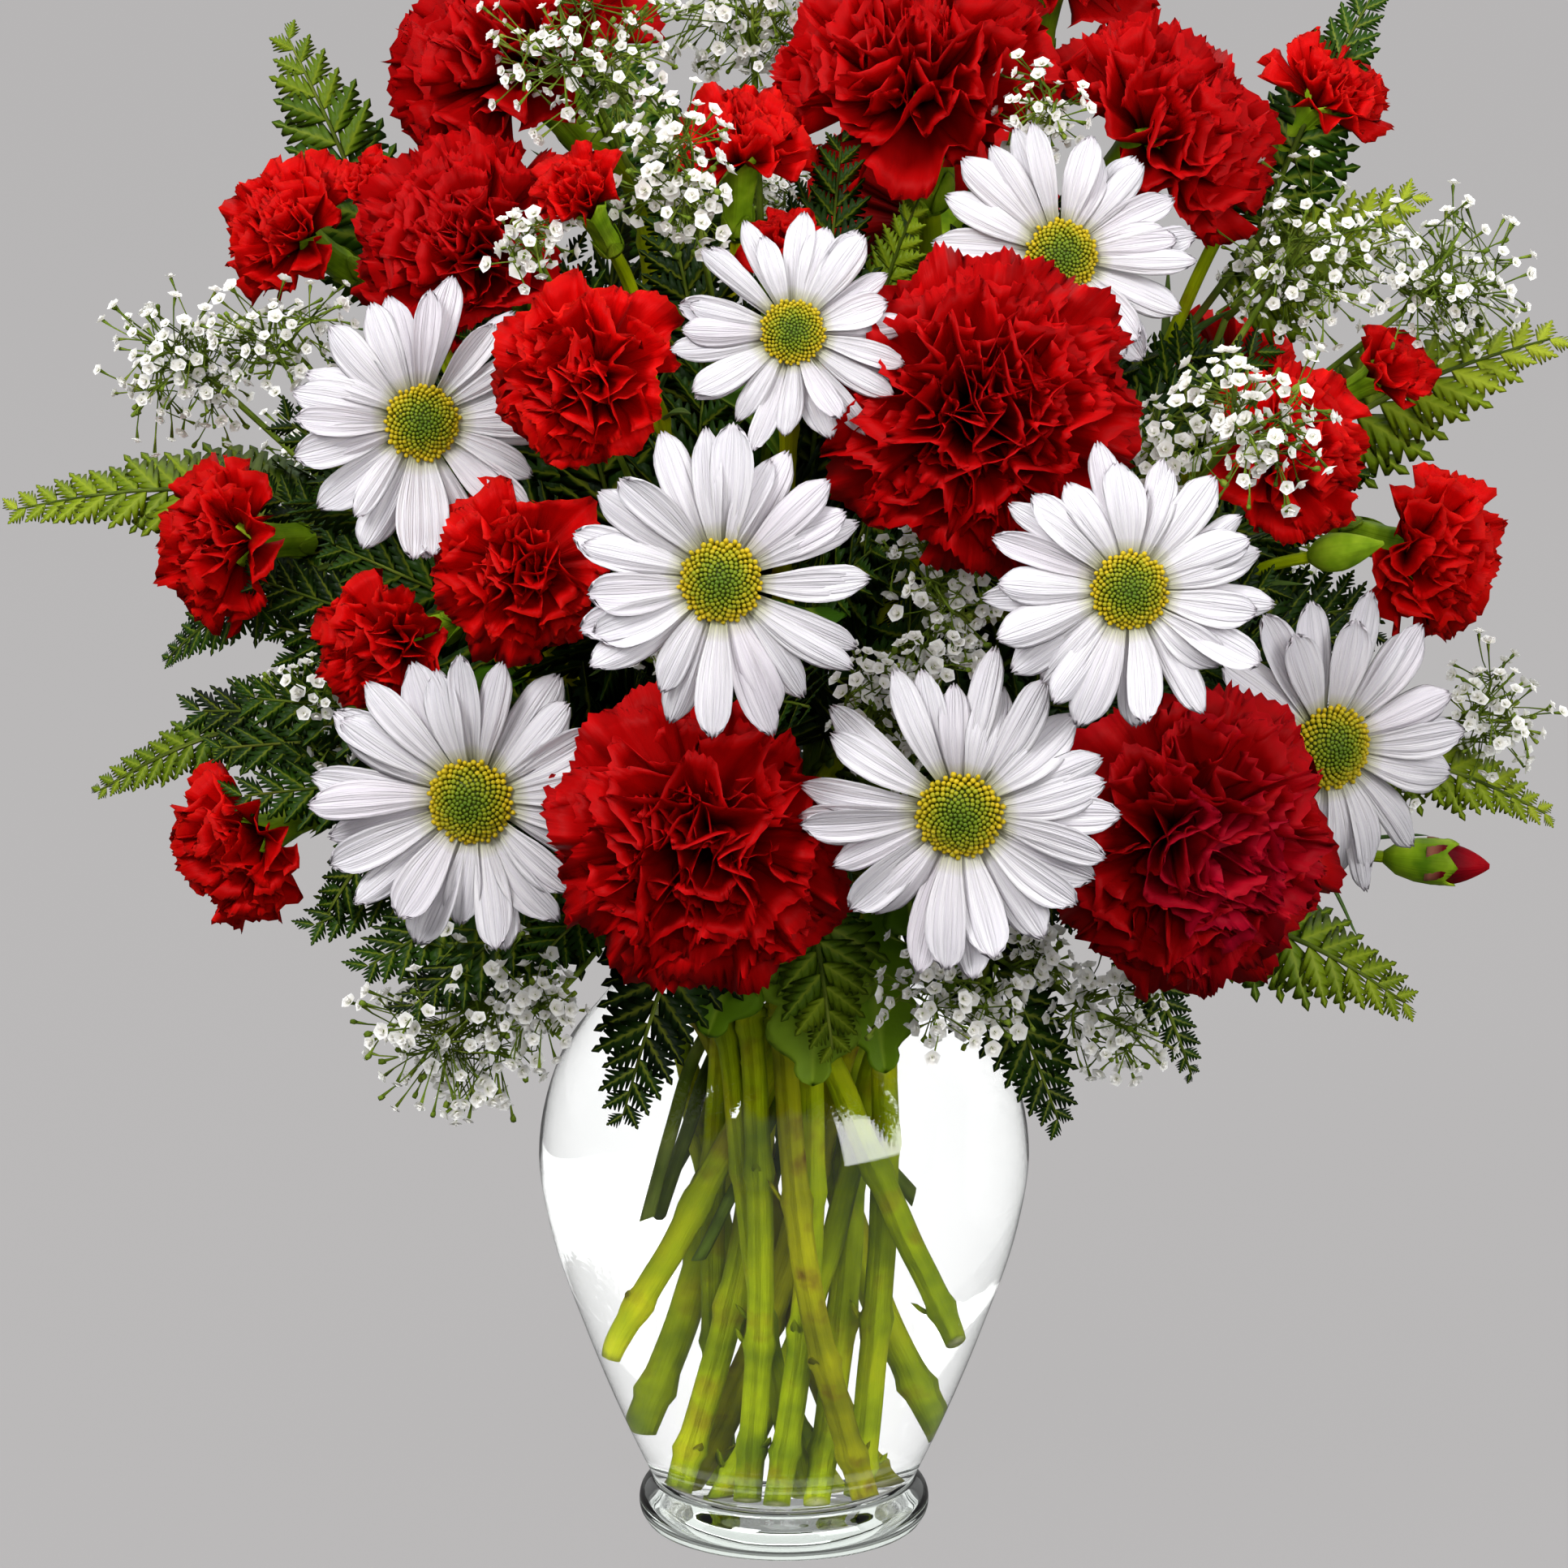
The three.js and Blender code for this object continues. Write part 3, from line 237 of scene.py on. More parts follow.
def putPiece(name, shells, skins, nodes=()):
    # Joins shells into one object at the origin, and hides the solids that it stands for. skins names its
    # materials, which the shells' look counts from 0.
    base = np.cumsum([0] + [len(s["points"]) for s in shells[:-1]])
    points = np.concatenate([s["points"] for s in shells]) / perMetre
    quads = [s["quads"] + b for s, b in zip(shells, base) if "quads" in s]
    tris = [s["tris"] + b for s, b in zip(shells, base) if "tris" in s]
    parts = [(s, len(s[key])) for key in ("quads", "tris") for s in shells if key in s]
    looks = np.concatenate([np.full(count, s["look"]) for s, count in parts])
    smooth = np.concatenate([np.full(count, not s.get("flat")) for s, count in parts])
    quads = np.concatenate(quads) if quads else np.zeros((0, 4), int)
    tris = np.concatenate(tris) if tris else np.zeros((0, 3), int)
    corners = np.concatenate([quads.ravel(), tris.ravel()]).astype(np.int32)
    sizes = np.concatenate([np.full(len(quads), 4), np.full(len(tris), 3)])
    mesh = bpy.data.meshes.new(name)
    mesh.vertices.add(len(points))
    mesh.vertices.foreach_set("co", points.astype(np.float32).ravel())
    mesh.loops.add(len(corners))
    mesh.loops.foreach_set("vertex_index", corners)
    mesh.polygons.add(len(sizes))
    mesh.polygons.foreach_set("loop_start", (np.cumsum(sizes) - sizes).astype(np.int32))
    mesh.polygons.foreach_set("material_index", looks.astype(np.int32))
    mesh.polygons.foreach_set("use_smooth", smooth)
    uv = np.concatenate([s["uv"] for s in shells])
    mesh.uv_layers.new(name="surface").uv.foreach_set("vector", uv[corners].astype(np.float32).ravel())
    tone = mesh.attributes.new("tone", "FLOAT", "POINT")
    tone.data.foreach_set("value", np.concatenate([s["tone"] for s in shells]).astype(np.float32))
    for skin in skins:
        mesh.materials.append(materials[skin])
    mesh.update(calc_edges=True)
    piece = bpy.data.objects.new(name, mesh)
    bpy.context.collection.objects.link(piece)
    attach(piece, "root")
    for node in nodes:
        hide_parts(node)
    return piece


# Where everything stands: the same named values as the part's source.
# Blooms: the middle of the face, turn from the front towards +X, tilt above level, radius, stem.
largeCarnations = {
    "carnation_1": ((46, -148, 317), 6, 8, 36, None),
    "carnation_2": ((-20, -152, 215), -5, -4, 35, None),
    "carnation_3": ((100, -124, 209), 24, -6, 36, None),
    "carnation_4": ((-80, -66, 348), -35, 32, 28, None),
    "carnation_5": ((-71, -26, 393), -62, 46, 33, None),
    "carnation_6": ((32, -42, 391), -10, 62, 36, None),
    "carnation_7": ((97, -34, 374), 62, 46, 31, None),
    "carnation_8": ((66, 12, 414), 30, 78, 28, None),
    "carnation_9": ((42, 96, 338), 165, 34, 33, None),
}
smallCarnations = {
    "small_carnation_1": ((-47, -146, 326), -24, 14, 23, "spray_front"),
    "small_carnation_2": ((-62, -132, 277), -14, 2, 22, "spray_front"),
    "small_carnation_3": ((-96, -98, 252), -34, -4, 20, "spray_front"),
    "small_carnation_4": ((-140, -46, 269), -50, 4, 22, "spray_left"),
    "small_carnation_5": ((-136, -56, 194), -44, -12, 22, "spray_left"),
    "small_carnation_6": ((-124, -26, 345), -42, 30, 20, "spray_left"),
    "small_carnation_7": ((-47, -112, 363), -24, 42, 15, "spray_top"),
    "small_carnation_8": ((-10, -58, 370), 8, 66, 19, "spray_top"),
    "small_carnation_9": ((0, -78, 346), -4, 42, 14, "spray_top"),
    "small_carnation_10": ((138, 4, 376), 58, 48, 18, "spray_right"),
    "small_carnation_11": ((124, -80, 297), 40, 14, 23, "spray_right"),
    "small_carnation_12": ((151, -24, 309), 62, 30, 15, "spray_right"),
    "small_carnation_13": ((162, -38, 264), 38, -4, 23, "spray_right"),
}
fusedBlooms = {
    "side_bloom": ((-102, -34, 356), -25, 48, 12, "spray_left"),
    "back_bloom_1": ((-96, 82, 296), -140, 20, 20, "spray_left"),
    "back_bloom_2": ((4, 112, 244), 178, 4, 19, "spray_top"),
    "back_bloom_3": ((122, 74, 296), 128, 22, 20, "spray_right"),
}
buds = {
    "red_bud": ((172, -26, 183), 84, -4, 10, "spray_right"),
    "green_bud": ((142, -66, 272), 70, 14, 8, "spray_right"),
}
daisies = {
    "daisy_1": ((-84, -122, 311), 12, 8, 31, "daisy_stem_left"),
    "daisy_2": ((2, -150, 336), 0, 14, 26, "daisy_stem_front"),
    "daisy_3": ((65, -100, 347), 4, 10, 30, "daisy_stem_right"),
    "daisy_4": ((-14, -178, 284), -3, 6, 33, "daisy_stem_front"),
    "daisy_5": ((77, -178, 282), 5, 8, 31, "daisy_stem_right"),
    "daisy_6": ((-73, -130, 223), -10, 0, 36, "daisy_stem_left"),
    "daisy_7": ((40, -166, 228), -4, -4, 35, "daisy_stem_front"),
    "daisy_8": ((132, -84, 226), 22, 2, 36, "daisy_stem_right"),
    "daisy_9": ((-40, 116, 286), -164, 16, 32, "daisy_stem_left"),
    "daisy_10": ((80, 100, 264), 140, 8, 33, "daisy_stem_right"),
}
# Fronds: where the blade starts, its tip, its half width, its stem, and how young its green is; values of 0.1
# and less are also painted shade on the low fronds under the blooms.
fronds = [
    ((-114, -14, 274), (-196, -10, 271), 20, "fern_left", 0.62),
    ((-116, -28, 224), (-175, -20, 200), 15, "fern_left", 0.5),
    ((-112, -36, 262), (-157, -14, 233), 15, "fern_left", 0.2),
    ((-92, -66, 206), (-114, -62, 177), 14, "fern_left", 0.1),
    ((-92, 48, 232), (-138, 78, 240), 22, "fern_left", 0.3),
    ((-98, 8, 322), (-126, 12, 390), 23, "fern_top", 0.45),
    ((120, 10, 338), (150, 12, 402), 19, "fern_top", 0.25),
    ((22, -36, 312), (33, -66, 358), 15, "fern_top", 0.6),
    ((-22, 66, 318), (-52, 92, 386), 24, "fern_top", 0.3),
    ((112, 4, 318), (160, 2, 350), 20, "fern_right", 0.7),
    ((128, -2, 284), (196, 0, 314), 24, "fern_right", 0.75),
    ((136, -20, 214), (195, -20, 194), 18, "fern_right", 0.7),
    ((104, -48, 178), (157, -50, 152), 21, "fern_right", 0.6),
    ((86, -52, 172), (102, -60, 136), 11, "fern_front", 0.1),
    ((44, -66, 182), (68, -82, 130), 20, "fern_front", 0.1),
    ((-22, -64, 184), (-40, -82, 131), 21, "fern_front", 0.05),
    ((6, -66, 186), (12, -88, 150), 20, "fern_front", 0.5),
    ((40, 92, 262), (66, 146, 300), 24, "fern_back", 0.4),
    ((82, 62, 214), (136, 92, 216), 22, "fern_back", 0.4),
]
# Clouds of gypsophila: the middle, the radius and the stem.
clouds = [
    ((-148, -32, 313), 17, "gypsophila_left"),
    ((-122, -60, 322), 14, "gypsophila_left"),
    ((-116, -58, 228), 12, "gypsophila_left"),
    ((-79, -72, 156), 20, "gypsophila_left"),
    ((-118, 52, 268), 20, "gypsophila_left"),
    ((-48, -62, 392), 18, "gypsophila_top"),
    ((-22, -96, 366), 15, "gypsophila_top"),
    ((-8, -6, 398), 18, "gypsophila_top"),
    ((64, -66, 378), 11, "gypsophila_top"),
    ((-6, 112, 330), 22, "gypsophila_top"),
    ((164, -12, 330), 18, "gypsophila_right"),
    ((128, -34, 340), 18, "gypsophila_right"),
    ((109, -126, 312), 15, "gypsophila_right"),
    ((178, -24, 222), 14, "gypsophila_right"),
    ((128, 84, 250), 20, "gypsophila_right"),
    ((37, -122, 275), 15, "gypsophila_front"),
    ((38, -104, 168), 14, "gypsophila_front"),
    ((78, -82, 158), 13, "gypsophila_front"),
]
vase = {
    "height": 178,
    "rim": 44,
    "water": 146,
    # Radius and height, outside from the foot to the rim, and inside from the floor to the rim.
    "outer": [(36.5, 0), (38, 2.5), (38, 7), (34.5, 11.5), (39, 21), (52.5, 54), (61.5, 82),
              (64, 100), (58, 126), (43, 147), (37.5, 160), (44, 178)],
    "inner": [(24, 9), (35.5, 20), (49.5, 54), (58.5, 82), (61, 100), (54.8, 126), (40, 147),
              (34.5, 160), (41, 178)],
}
stems = {
    "carnation": 2.9, "spray": 2.5, "daisy": 3.1, "fern": 1.5, "gypsophila": 1.3,
    "branch": {"spray": 1.5, "daisy": 1.6, "fern": 0.9, "gypsophila": 0.8},
    "cutEnd": {"floor": 11.2, "fern": 88, "gypsophila": 80},
    "highEnds": {"carnation_4": (38, -6, 56), "carnation_5": (27, 8, 26),
                 "carnation_7": (-36, -6, 50), "carnation_8": (-25, 10, 27)},
    # How far from the axis a stem passes its foot, neck and mouth: the least, and how much more
    # under a fork that is the full distance out.
    "fan": {"full": 150, "foot": (8, 15), "neck": (5, 21), "mouth": (7, 25), "neckHeight": 158,
            "overRim": 10},
    "fork": {"out": 0.36, "up": 0.4, "overRim": 20, "bare": 20, "branch": 3.35, "branches": 1.1},
    "tail": {"bloom": 8, "branch": 6, "loose": 12},
}
# From a bloom's face to the middle of its petals, and on to the foot of its calyx: a share of the
# radius, and millimetres.
headDepths = {"carnation": (0.45, 0), "daisy": (0, 3), "bud": (0.3, 0)}
calyxLengths = {"carnation": (0.75, 4), "daisy": (0, 7), "bud": (1.6, 0)}
# Balls that stems keep out of, in radii of the bloom: petals, a daisy's rays 3 mm ahead, and two
# along the calyx, half a millimetre larger.
keepClear = {"ahead": 0.45, "petals": 0.82, "daisyAhead": 3, "rays": 0.5, "behind": (0.15, 0.45),
             "calyx": 0.22, "more": 0.5}
settling = {"rounds": 450, "early": 0.7, "smooth": 0.25, "smoothLate": 0.02, "anchor": 0.06, "clear": 0.8,
            "push": 0.5, "pushGlass": 0.7, "inGlass": 2, "onGlass": 1.6, "overRim": 3.4, "longest": 3,
            "grid": 1e-4}
outerRadius, outerHeight = np.array(vase["outer"], float).T
innerRadius, innerHeight = np.array(vase["inner"], float).T
rimMiddle = vase["rim"] - 1.5


def facing(turn, tilt):
    turn, tilt = math.radians(turn), math.radians(tilt)
    return np.array([math.sin(turn) * math.cos(tilt), -math.cos(turn) * math.cos(tilt), math.sin(tilt)])


def alongRadius(point, share, height):
    # The point on the same side of the axis at a distance from it and a height.
    x, y = point[:2]
    r = max(1.0, math.hypot(x, y))
    return np.array([x / r * share, y / r * share, height])


def headFrame(name, bloom, kind):
    # Where a bloom's calyx starts (base) and where its petals sit (mouth).
    at, turn, tilt, radius, stem = bloom
    direction = facing(turn, tilt)
    depth, length = (share * radius + more for share, more in (headDepths[kind], calyxLengths[kind]))
    mouth = np.array(at, float) - depth * direction
    return {"name": name, "kind": kind, "radius": radius, "stem": stem, "direction": direction,
            "mouth": mouth, "base": mouth - length * direction}


heads = [headFrame(n, b, "carnation") for group in (largeCarnations, smallCarnations, fusedBlooms)
         for n, b in group.items()]
heads += [headFrame(n, b, "bud") for n, b in buds.items()]
heads += [headFrame(n, b, "daisy") for n, b in daisies.items()]
headNamed = {h["name"]: h for h in heads}

blades = []
for base, tip, width, stem, young in fronds:
    base, tip = np.array(base, float), np.array(tip, float)
    blades.append({"base": base, "tip": tip, "width": width, "stem": stem, "young": young,
                   "direction": unit(tip - base)})
sprigs = []
for at, radius, stem in clouds:
    at = np.array(at, float)
    direction = unit(at - (0, 0, 180))
    sprigs.append({"at": at, "radius": radius, "stem": stem, "direction": direction,
                   "base": at - 0.7 * radius * direction})


def chainTo(family, route, tip, tail, radius, tipRadius):
    points = np.array([*route, tip["base"] - tail * tip["direction"], tip["base"]], float)
    return {"family": family, "radius": radius, "tipRadius": tipRadius, "points": points,
            "fixed": 2, "onto": None, "anchor": None, "head": tip.get("name"), "tip": tip}


def pointAt(chain, place):
    i = int(place)
    return chain["points"][i] + (place - i) * (chain["points"][i + 1] - chain["points"][i])


def mainStem(family, tip, fork, tail, radius, tipRadius, depth):
    # From the cut end through the neck and over the rim to the fork and the tip.
    fan = stems["fan"]
    outward = min(1.0, math.hypot(fork[0], fork[1]) / fan["full"])
    footOut, neckOut, mouthOut = (fan[k][0] + fan[k][1] * outward for k in ("foot", "neck", "mouth"))
    high = stems["highEnds"].get(family)
    foot = np.array(high, float) if high else alongRadius(fork, -footOut, depth)
    neck = alongRadius(fork, neckOut, fan["neckHeight"])
    mouth = alongRadius(fork, mouthOut, vase["height"] + fan["overRim"])
    route = [foot, (foot + neck) / 2, neck, mouth, fork, (fork + tip["base"]) / 2]
    return chainTo(family, route, tip, tail, radius, tipRadius)


def branchedStem(tips, family, radius, branch, depth, loose):
    # The highest tip ends the stem itself, and the others branch off it one by one.
    shape, tail = stems["fork"], stems["tail"]
    own = sorted((t for t in tips if t["stem"] == family), key=lambda t: -t["base"][2])
    centre = np.mean([t["base"] for t in own], axis=0)
    height = max(vase["height"] + shape["overRim"],
                 vase["height"] + (centre[2] - vase["height"]) * shape["up"])
    fork = np.array([centre[0] * shape["out"], centre[1] * shape["out"], height])
    stem = mainStem(family, own[0], fork, tail["branch"], radius, branch, depth)
    made = [stem]
    for k, tip in enumerate(own[:0:-1]):
        place = shape["branch"] + shape["branches"] * k / max(1, len(own) - 2)
        start = pointAt(stem, place)
        route = [start + t * (tip["base"] - start) for t in ([0, 0.5] if loose else [0, 0.35, 0.7])]
        chain = chainTo(family, route, tip, tail["loose" if loose else "branch"], branch, branch)
        chain["onto"] = (stem, place)
        made.append(chain)
    if loose:
        for chain in made:
            chain["fixed"], chain["anchor"] = 0, chain["points"][-1].copy()
    return made


def allStems():
    made = []
    for head in heads:
        if not head["stem"]:
            fork = alongRadius(head["base"], stems["fork"]["bare"], vase["height"] + stems["fan"]["overRim"])
            fork = fork + stems["fork"]["up"] * (head["base"] - fork)
            made.append(mainStem(head["name"], head, fork, stems["tail"]["bloom"], stems["carnation"],
                                 stems["carnation"], stems["cutEnd"]["floor"]))
    groups = [(heads, [b[4] for b in smallCarnations.values()], "spray", "floor"),
              (heads, [b[4] for b in daisies.values()], "daisy", "floor"),
              (blades, [b["stem"] for b in blades], "fern", "fern"),
              (sprigs, [s["stem"] for s in sprigs], "gypsophila", "gypsophila")]
    for tips, families, kind, end in groups:
        for family in dict.fromkeys(families):
            made += branchedStem(tips, family, stems[kind], stems["branch"][kind], stems["cutEnd"][end],
                                 end != "floor")
    return made


def keepOut():
    # Balls that the stems keep away from: blooms, and calyces that are wider than stems.
    shape = keepClear
    centres, radii, owner = [], [], []
    for h in heads:
        if h["kind"] == "daisy":
            balls = [(shape["daisyAhead"], shape["rays"] * h["radius"])]
        else:
            balls = [(shape["ahead"] * h["radius"], shape["petals"] * h["radius"])]
        balls += [(-back * h["radius"], shape["calyx"] * h["radius"] + shape["more"])
                  for back in shape["behind"]]
        for offset, radius in balls:
            centres.append(h["mouth"] + offset * h["direction"])
            radii.append(radius)
            owner.append(h["name"])
    return np.array(centres), np.array(radii), np.array(owner)


def glassPush(p, radius, below):
    # How far points of stems have to move to be clear of the glass, inside it, outside or over it.
    r, z = np.hypot(p[:, 0], p[:, 1]), p[:, 2]
    inside = below | (r < rimMiddle)
    out = np.stack([p[:, 0], p[:, 1], np.zeros(len(p))], axis=1) / np.maximum(r, 1e-6)[:, None]
    across, over = r - rimMiddle, z - (vase["height"] - 1)
    far, need = np.hypot(across, over), radius + settling["overRim"]
    short = np.where((over > 0) & (far < need), (need - far) / far, 0)
    push = out * (across * short)[:, None]
    push[:, 2] = over * short
    room = np.where(inside, np.interp(z, innerHeight, innerRadius) - radius - settling["inGlass"],
                    np.interp(z, outerHeight, outerRadius) + radius + settling["onGlass"])
    beside = (over <= 0) & (inside == (r > room))
    return push + out * np.where(beside, room - r, 0)[:, None]


def nearestShares(p, q, u, v):
    # The shares along segments p-q and u-v at which they come nearest each other.
    def dot(x, y):
        return (x * y).sum(axis=1)
    d, e, r = q - p, v - u, p - u
    a, b, c, f, g = dot(d, d), dot(d, e), dot(e, e), dot(d, r), dot(e, r)
    spread = a * c - b * b
    s = np.where(spread > 1e-9, (b * g - c * f) / np.maximum(spread, 1e-9), 0.5).clip(0, 1)
    t = ((b * s + g) / c).clip(0, 1)
    return ((b * t - f) / a).clip(0, 1), t


def settle(chains):
    # Bends the stems a little in each round, until they are smooth and clear of each other, of the
    # blooms and of the glass, by the same rules and weights as the part's source.
    counts = np.array([len(c["points"]) for c in chains])
    starts = np.cumsum(counts) - counts
    points = np.concatenate([c["points"] for c in chains])
    owner = np.repeat(np.arange(len(chains)), counts)
    place = np.arange(len(points)) - starts[owner]
    held = place >= (counts - [c["fixed"] for c in chains])[owner]
    rooted = np.array([c["onto"] is not None for c in chains])
    inner = np.flatnonzero((place > 0) & (place < counts[owner] - 1))
    before = np.linalg.norm(points[inner] - points[inner - 1], axis=1)
    after = np.linalg.norm(points[inner + 1] - points[inner], axis=1)
    shares = (before / (before + after))[:, None]
    anchors = np.array([i for i, c in enumerate(chains) if c["anchor"] is not None])
    anchorEnds = (starts + counts - 1)[anchors]
    anchorAt = np.array([chains[i]["anchor"] for i in anchors])
    index = {id(c): i for i, c in enumerate(chains)}
    branches = np.flatnonzero(rooted)
    places = np.array([chains[i]["onto"][1] for i in branches])
    onto = starts[[index[id(chains[i]["onto"][0])] for i in branches]] + places.astype(int)
    part = (places % 1)[:, None]

    low = np.flatnonzero(place < counts[owner] - 1)
    families = {f: i for i, f in enumerate(dict.fromkeys(c["family"] for c in chains))}
    family = np.array([families[c["family"]] for c in chains])[owner[low]]
    radius = np.array([c["radius"] for c in chains])[owner[low]]
    reach, below = radius + settling["clear"], ~rooted[owner[low]] & (place[low] < 3)
    one, other = np.triu_indices(len(low), 1)
    apart = family[one] != family[other]
    one, other = one[apart], other[apart]
    centres, radii, names = keepOut()
    ownHead = np.array([c["head"] or "" for c in chains])[owner[low]][:, None] == names[None]
    steps = np.array([0, 0.25, 0.5, 0.75, 1])
    radiusEach, belowEach = np.repeat(radius, len(steps)), np.repeat(below, len(steps))
    level = ~rooted[owner] & np.isin(place, [0, 2, 3])
    free = ~(held | (rooted[owner] & (place == 0)))
    grid, share = settling["grid"], settling["push"]

    for n in range(settling["rounds"]):
        early = n < settling["early"] * settling["rounds"]
        smoothing = settling["smooth" if early else "smoothLate"]
        points[starts[branches]] = points[onto] + part * (points[onto + 1] - points[onto])
        moves = np.zeros_like(points)
        between = points[inner - 1] + shares * (points[inner + 1] - points[inner - 1])
        moves[inner] += smoothing * (between - points[inner])
        moves[anchorEnds] += settling["anchor"] * (anchorAt - points[anchorEnds])

        p, q = points[low], points[low + 1]
        middle, half = (p + q) / 2, np.linalg.norm(q - p, axis=1) / 2
        need = reach[one] + reach[other]
        near = np.linalg.norm(middle[one] - middle[other], axis=1) < half[one] + half[other] + need
        i, j, need = one[near], other[near], need[near]
        s, t = nearestShares(p[i], q[i], p[j], q[j])
        gap = p[i] + s[:, None] * (q[i] - p[i]) - p[j] - t[:, None] * (q[j] - p[j])
        far = np.linalg.norm(gap, axis=1)
        close = (far < need) & (far > 1e-6)
        i, j, s, t = i[close], j[close], s[close, None], t[close, None]
        gap = gap[close] * ((need - far) / far)[close, None]
        mine = gap * np.where(held[low[j]], 1, share)[:, None]
        yours = -gap * np.where(held[low[i]], 1, share)[:, None]
        for at, push in [(low[i], mine * (1 - s)), (low[i] + 1, mine * s),
                         (low[j], yours * (1 - t)), (low[j] + 1, yours * t)]:
            np.add.at(moves, at, push)

        farOff = np.linalg.norm(middle[:, None] - centres[None], axis=2)
        i, k = np.nonzero((farOff < half[:, None] + radii[None] + reach[:, None]) & ~ownHead)
        samples = p[i, None] + steps[None, :, None] * (q - p)[i, None]
        away = samples - centres[k, None]
        far = np.linalg.norm(away, axis=2)
        short = np.where(far < (radii[k] + reach[i])[:, None], (radii[k] + reach[i])[:, None] - far, 0)
        push = share * away * (short / np.maximum(far, 1e-6))[..., None]
        np.add.at(moves, low[i], (push * (1 - steps)[None, :, None]).sum(axis=1))
        np.add.at(moves, low[i] + 1, (push * steps[None, :, None]).sum(axis=1))

        samples = (p[:, None] + steps[None, :, None] * (q - p)[:, None]).reshape(-1, 3)
        push = settling["pushGlass"] * glassPush(samples, radiusEach, belowEach).reshape(-1, len(steps), 3)
        np.add.at(moves, low, (push * (1 - steps)[None, :, None]).sum(axis=1))
        np.add.at(moves, low + 1, (push * steps[None, :, None]).sum(axis=1))

        length = np.linalg.norm(moves, axis=1, keepdims=True)
        moves *= np.minimum(1, settling["longest"] / np.maximum(length, 1e-9)) * free[:, None]
        moves[level, 2] = 0
        points += moves
        points[free] = np.floor(points[free] / grid + 0.5) * grid
    for chain, start, count in zip(chains, starts, counts):
        chain["points"] = points[start:start + count]
        if chain["head"] is None:
            chain["tip"]["base"] = chain["points"][-1]
    return chains


chains = settle(allStems())
print(f"stems settled: {len(chains)} chains")


# Materials. Each is named for what the real one is.
def readings(tree, *wanted):
    # What the patterns read: the piece's own UV, the two parts of it, its tone attribute, and
    # Object coordinates.
    uv = addNode(tree, "ShaderNodeUVMap", {"uv_map": "surface"})
    split = addNode(tree, "ShaderNodeSeparateXYZ", inputs={"Vector": uv.outputs["UV"]})
    tone = addNode(tree, "ShaderNodeAttribute", {"attribute_name": "tone"})
    place = addNode(tree, "ShaderNodeTexCoord")
    sockets = {"uv": uv.outputs["UV"], "across": split.outputs["X"], "along": split.outputs["Y"],
               "tone": tone.outputs["Fac"], "place": place.outputs["Object"]}
    return [sockets[key] for key in wanted]


def maths(tree, operation, a, b=0.0, c=0.0):
    node = addNode(tree, "ShaderNodeMath", {"operation": operation}, {0: a, 1: b, 2: c})
    return node.outputs["Value"]


def ranged(tree, value, low, high, toLow=0.0, toHigh=1.0):
    # Turns low to high into toLow to toHigh in a straight line, and holds the ends beyond.
    node = addNode(tree, "ShaderNodeMapRange", inputs={
        "Value": value, "From Min": low, "From Max": high, "To Min": toLow, "To Max": toHigh})
    return node.outputs["Result"]


def mixed(tree, factor, a, b, blend="MIX"):
    # Inputs 0, 6 and 7 are the share and the two colours; output 2 is the mixed colour.
    node = addNode(tree, "ShaderNodeMix", {"data_type": "RGBA", "blend_type": blend},
                   {0: factor, 6: a, 7: b})
    return node.outputs[2]


def tinted(tree, colour, pattern, share, tint):
    # Mixes a tint in where a pattern is, by a share of it.
    return mixed(tree, maths(tree, "MULTIPLY", pattern, share), colour, hexToLinear(tint))


def noiseAt(tree, vector, scale, stretch=(1, 1, 1), detail=2.0):
    # Noise whose size is given by scale in repeats per unit of the vector.
    mapping = addNode(tree, "ShaderNodeMapping", inputs={"Vector": vector, "Scale": stretch})
    noise = addNode(tree, "ShaderNodeTexNoise", inputs={
        "Vector": mapping.outputs["Vector"], "Scale": scale, "Detail": detail})
    return noise.outputs["Fac"]


def bumpOf(tree, height, depth):
    # depth in millimetres.
    bump = addNode(tree, "ShaderNodeBump", inputs={"Height": height, "Distance": depth / perMetre})
    return bump.outputs["Normal"]


def showMixed(tree, share, first, second):
    # Puts a mix of two shaders on the material's output, share of it being the second.
    output = next(n for n in tree.nodes if n.type == "OUTPUT_MATERIAL")
    both = addNode(tree, "ShaderNodeMixShader", inputs={0: share, 1: first, 2: second})
    tree.links.new(both.outputs["Shader"], output.inputs["Surface"])
    return output


def letThrough(tree, surface, colour, share):
    # Thin petals and leaves let some light through: a Translucent shader mixed in.
    behind = addNode(tree, "ShaderNodeBsdfTranslucent", inputs={"Color": colour})
    showMixed(tree, share, surface.outputs["BSDF"], behind.outputs["BSDF"])


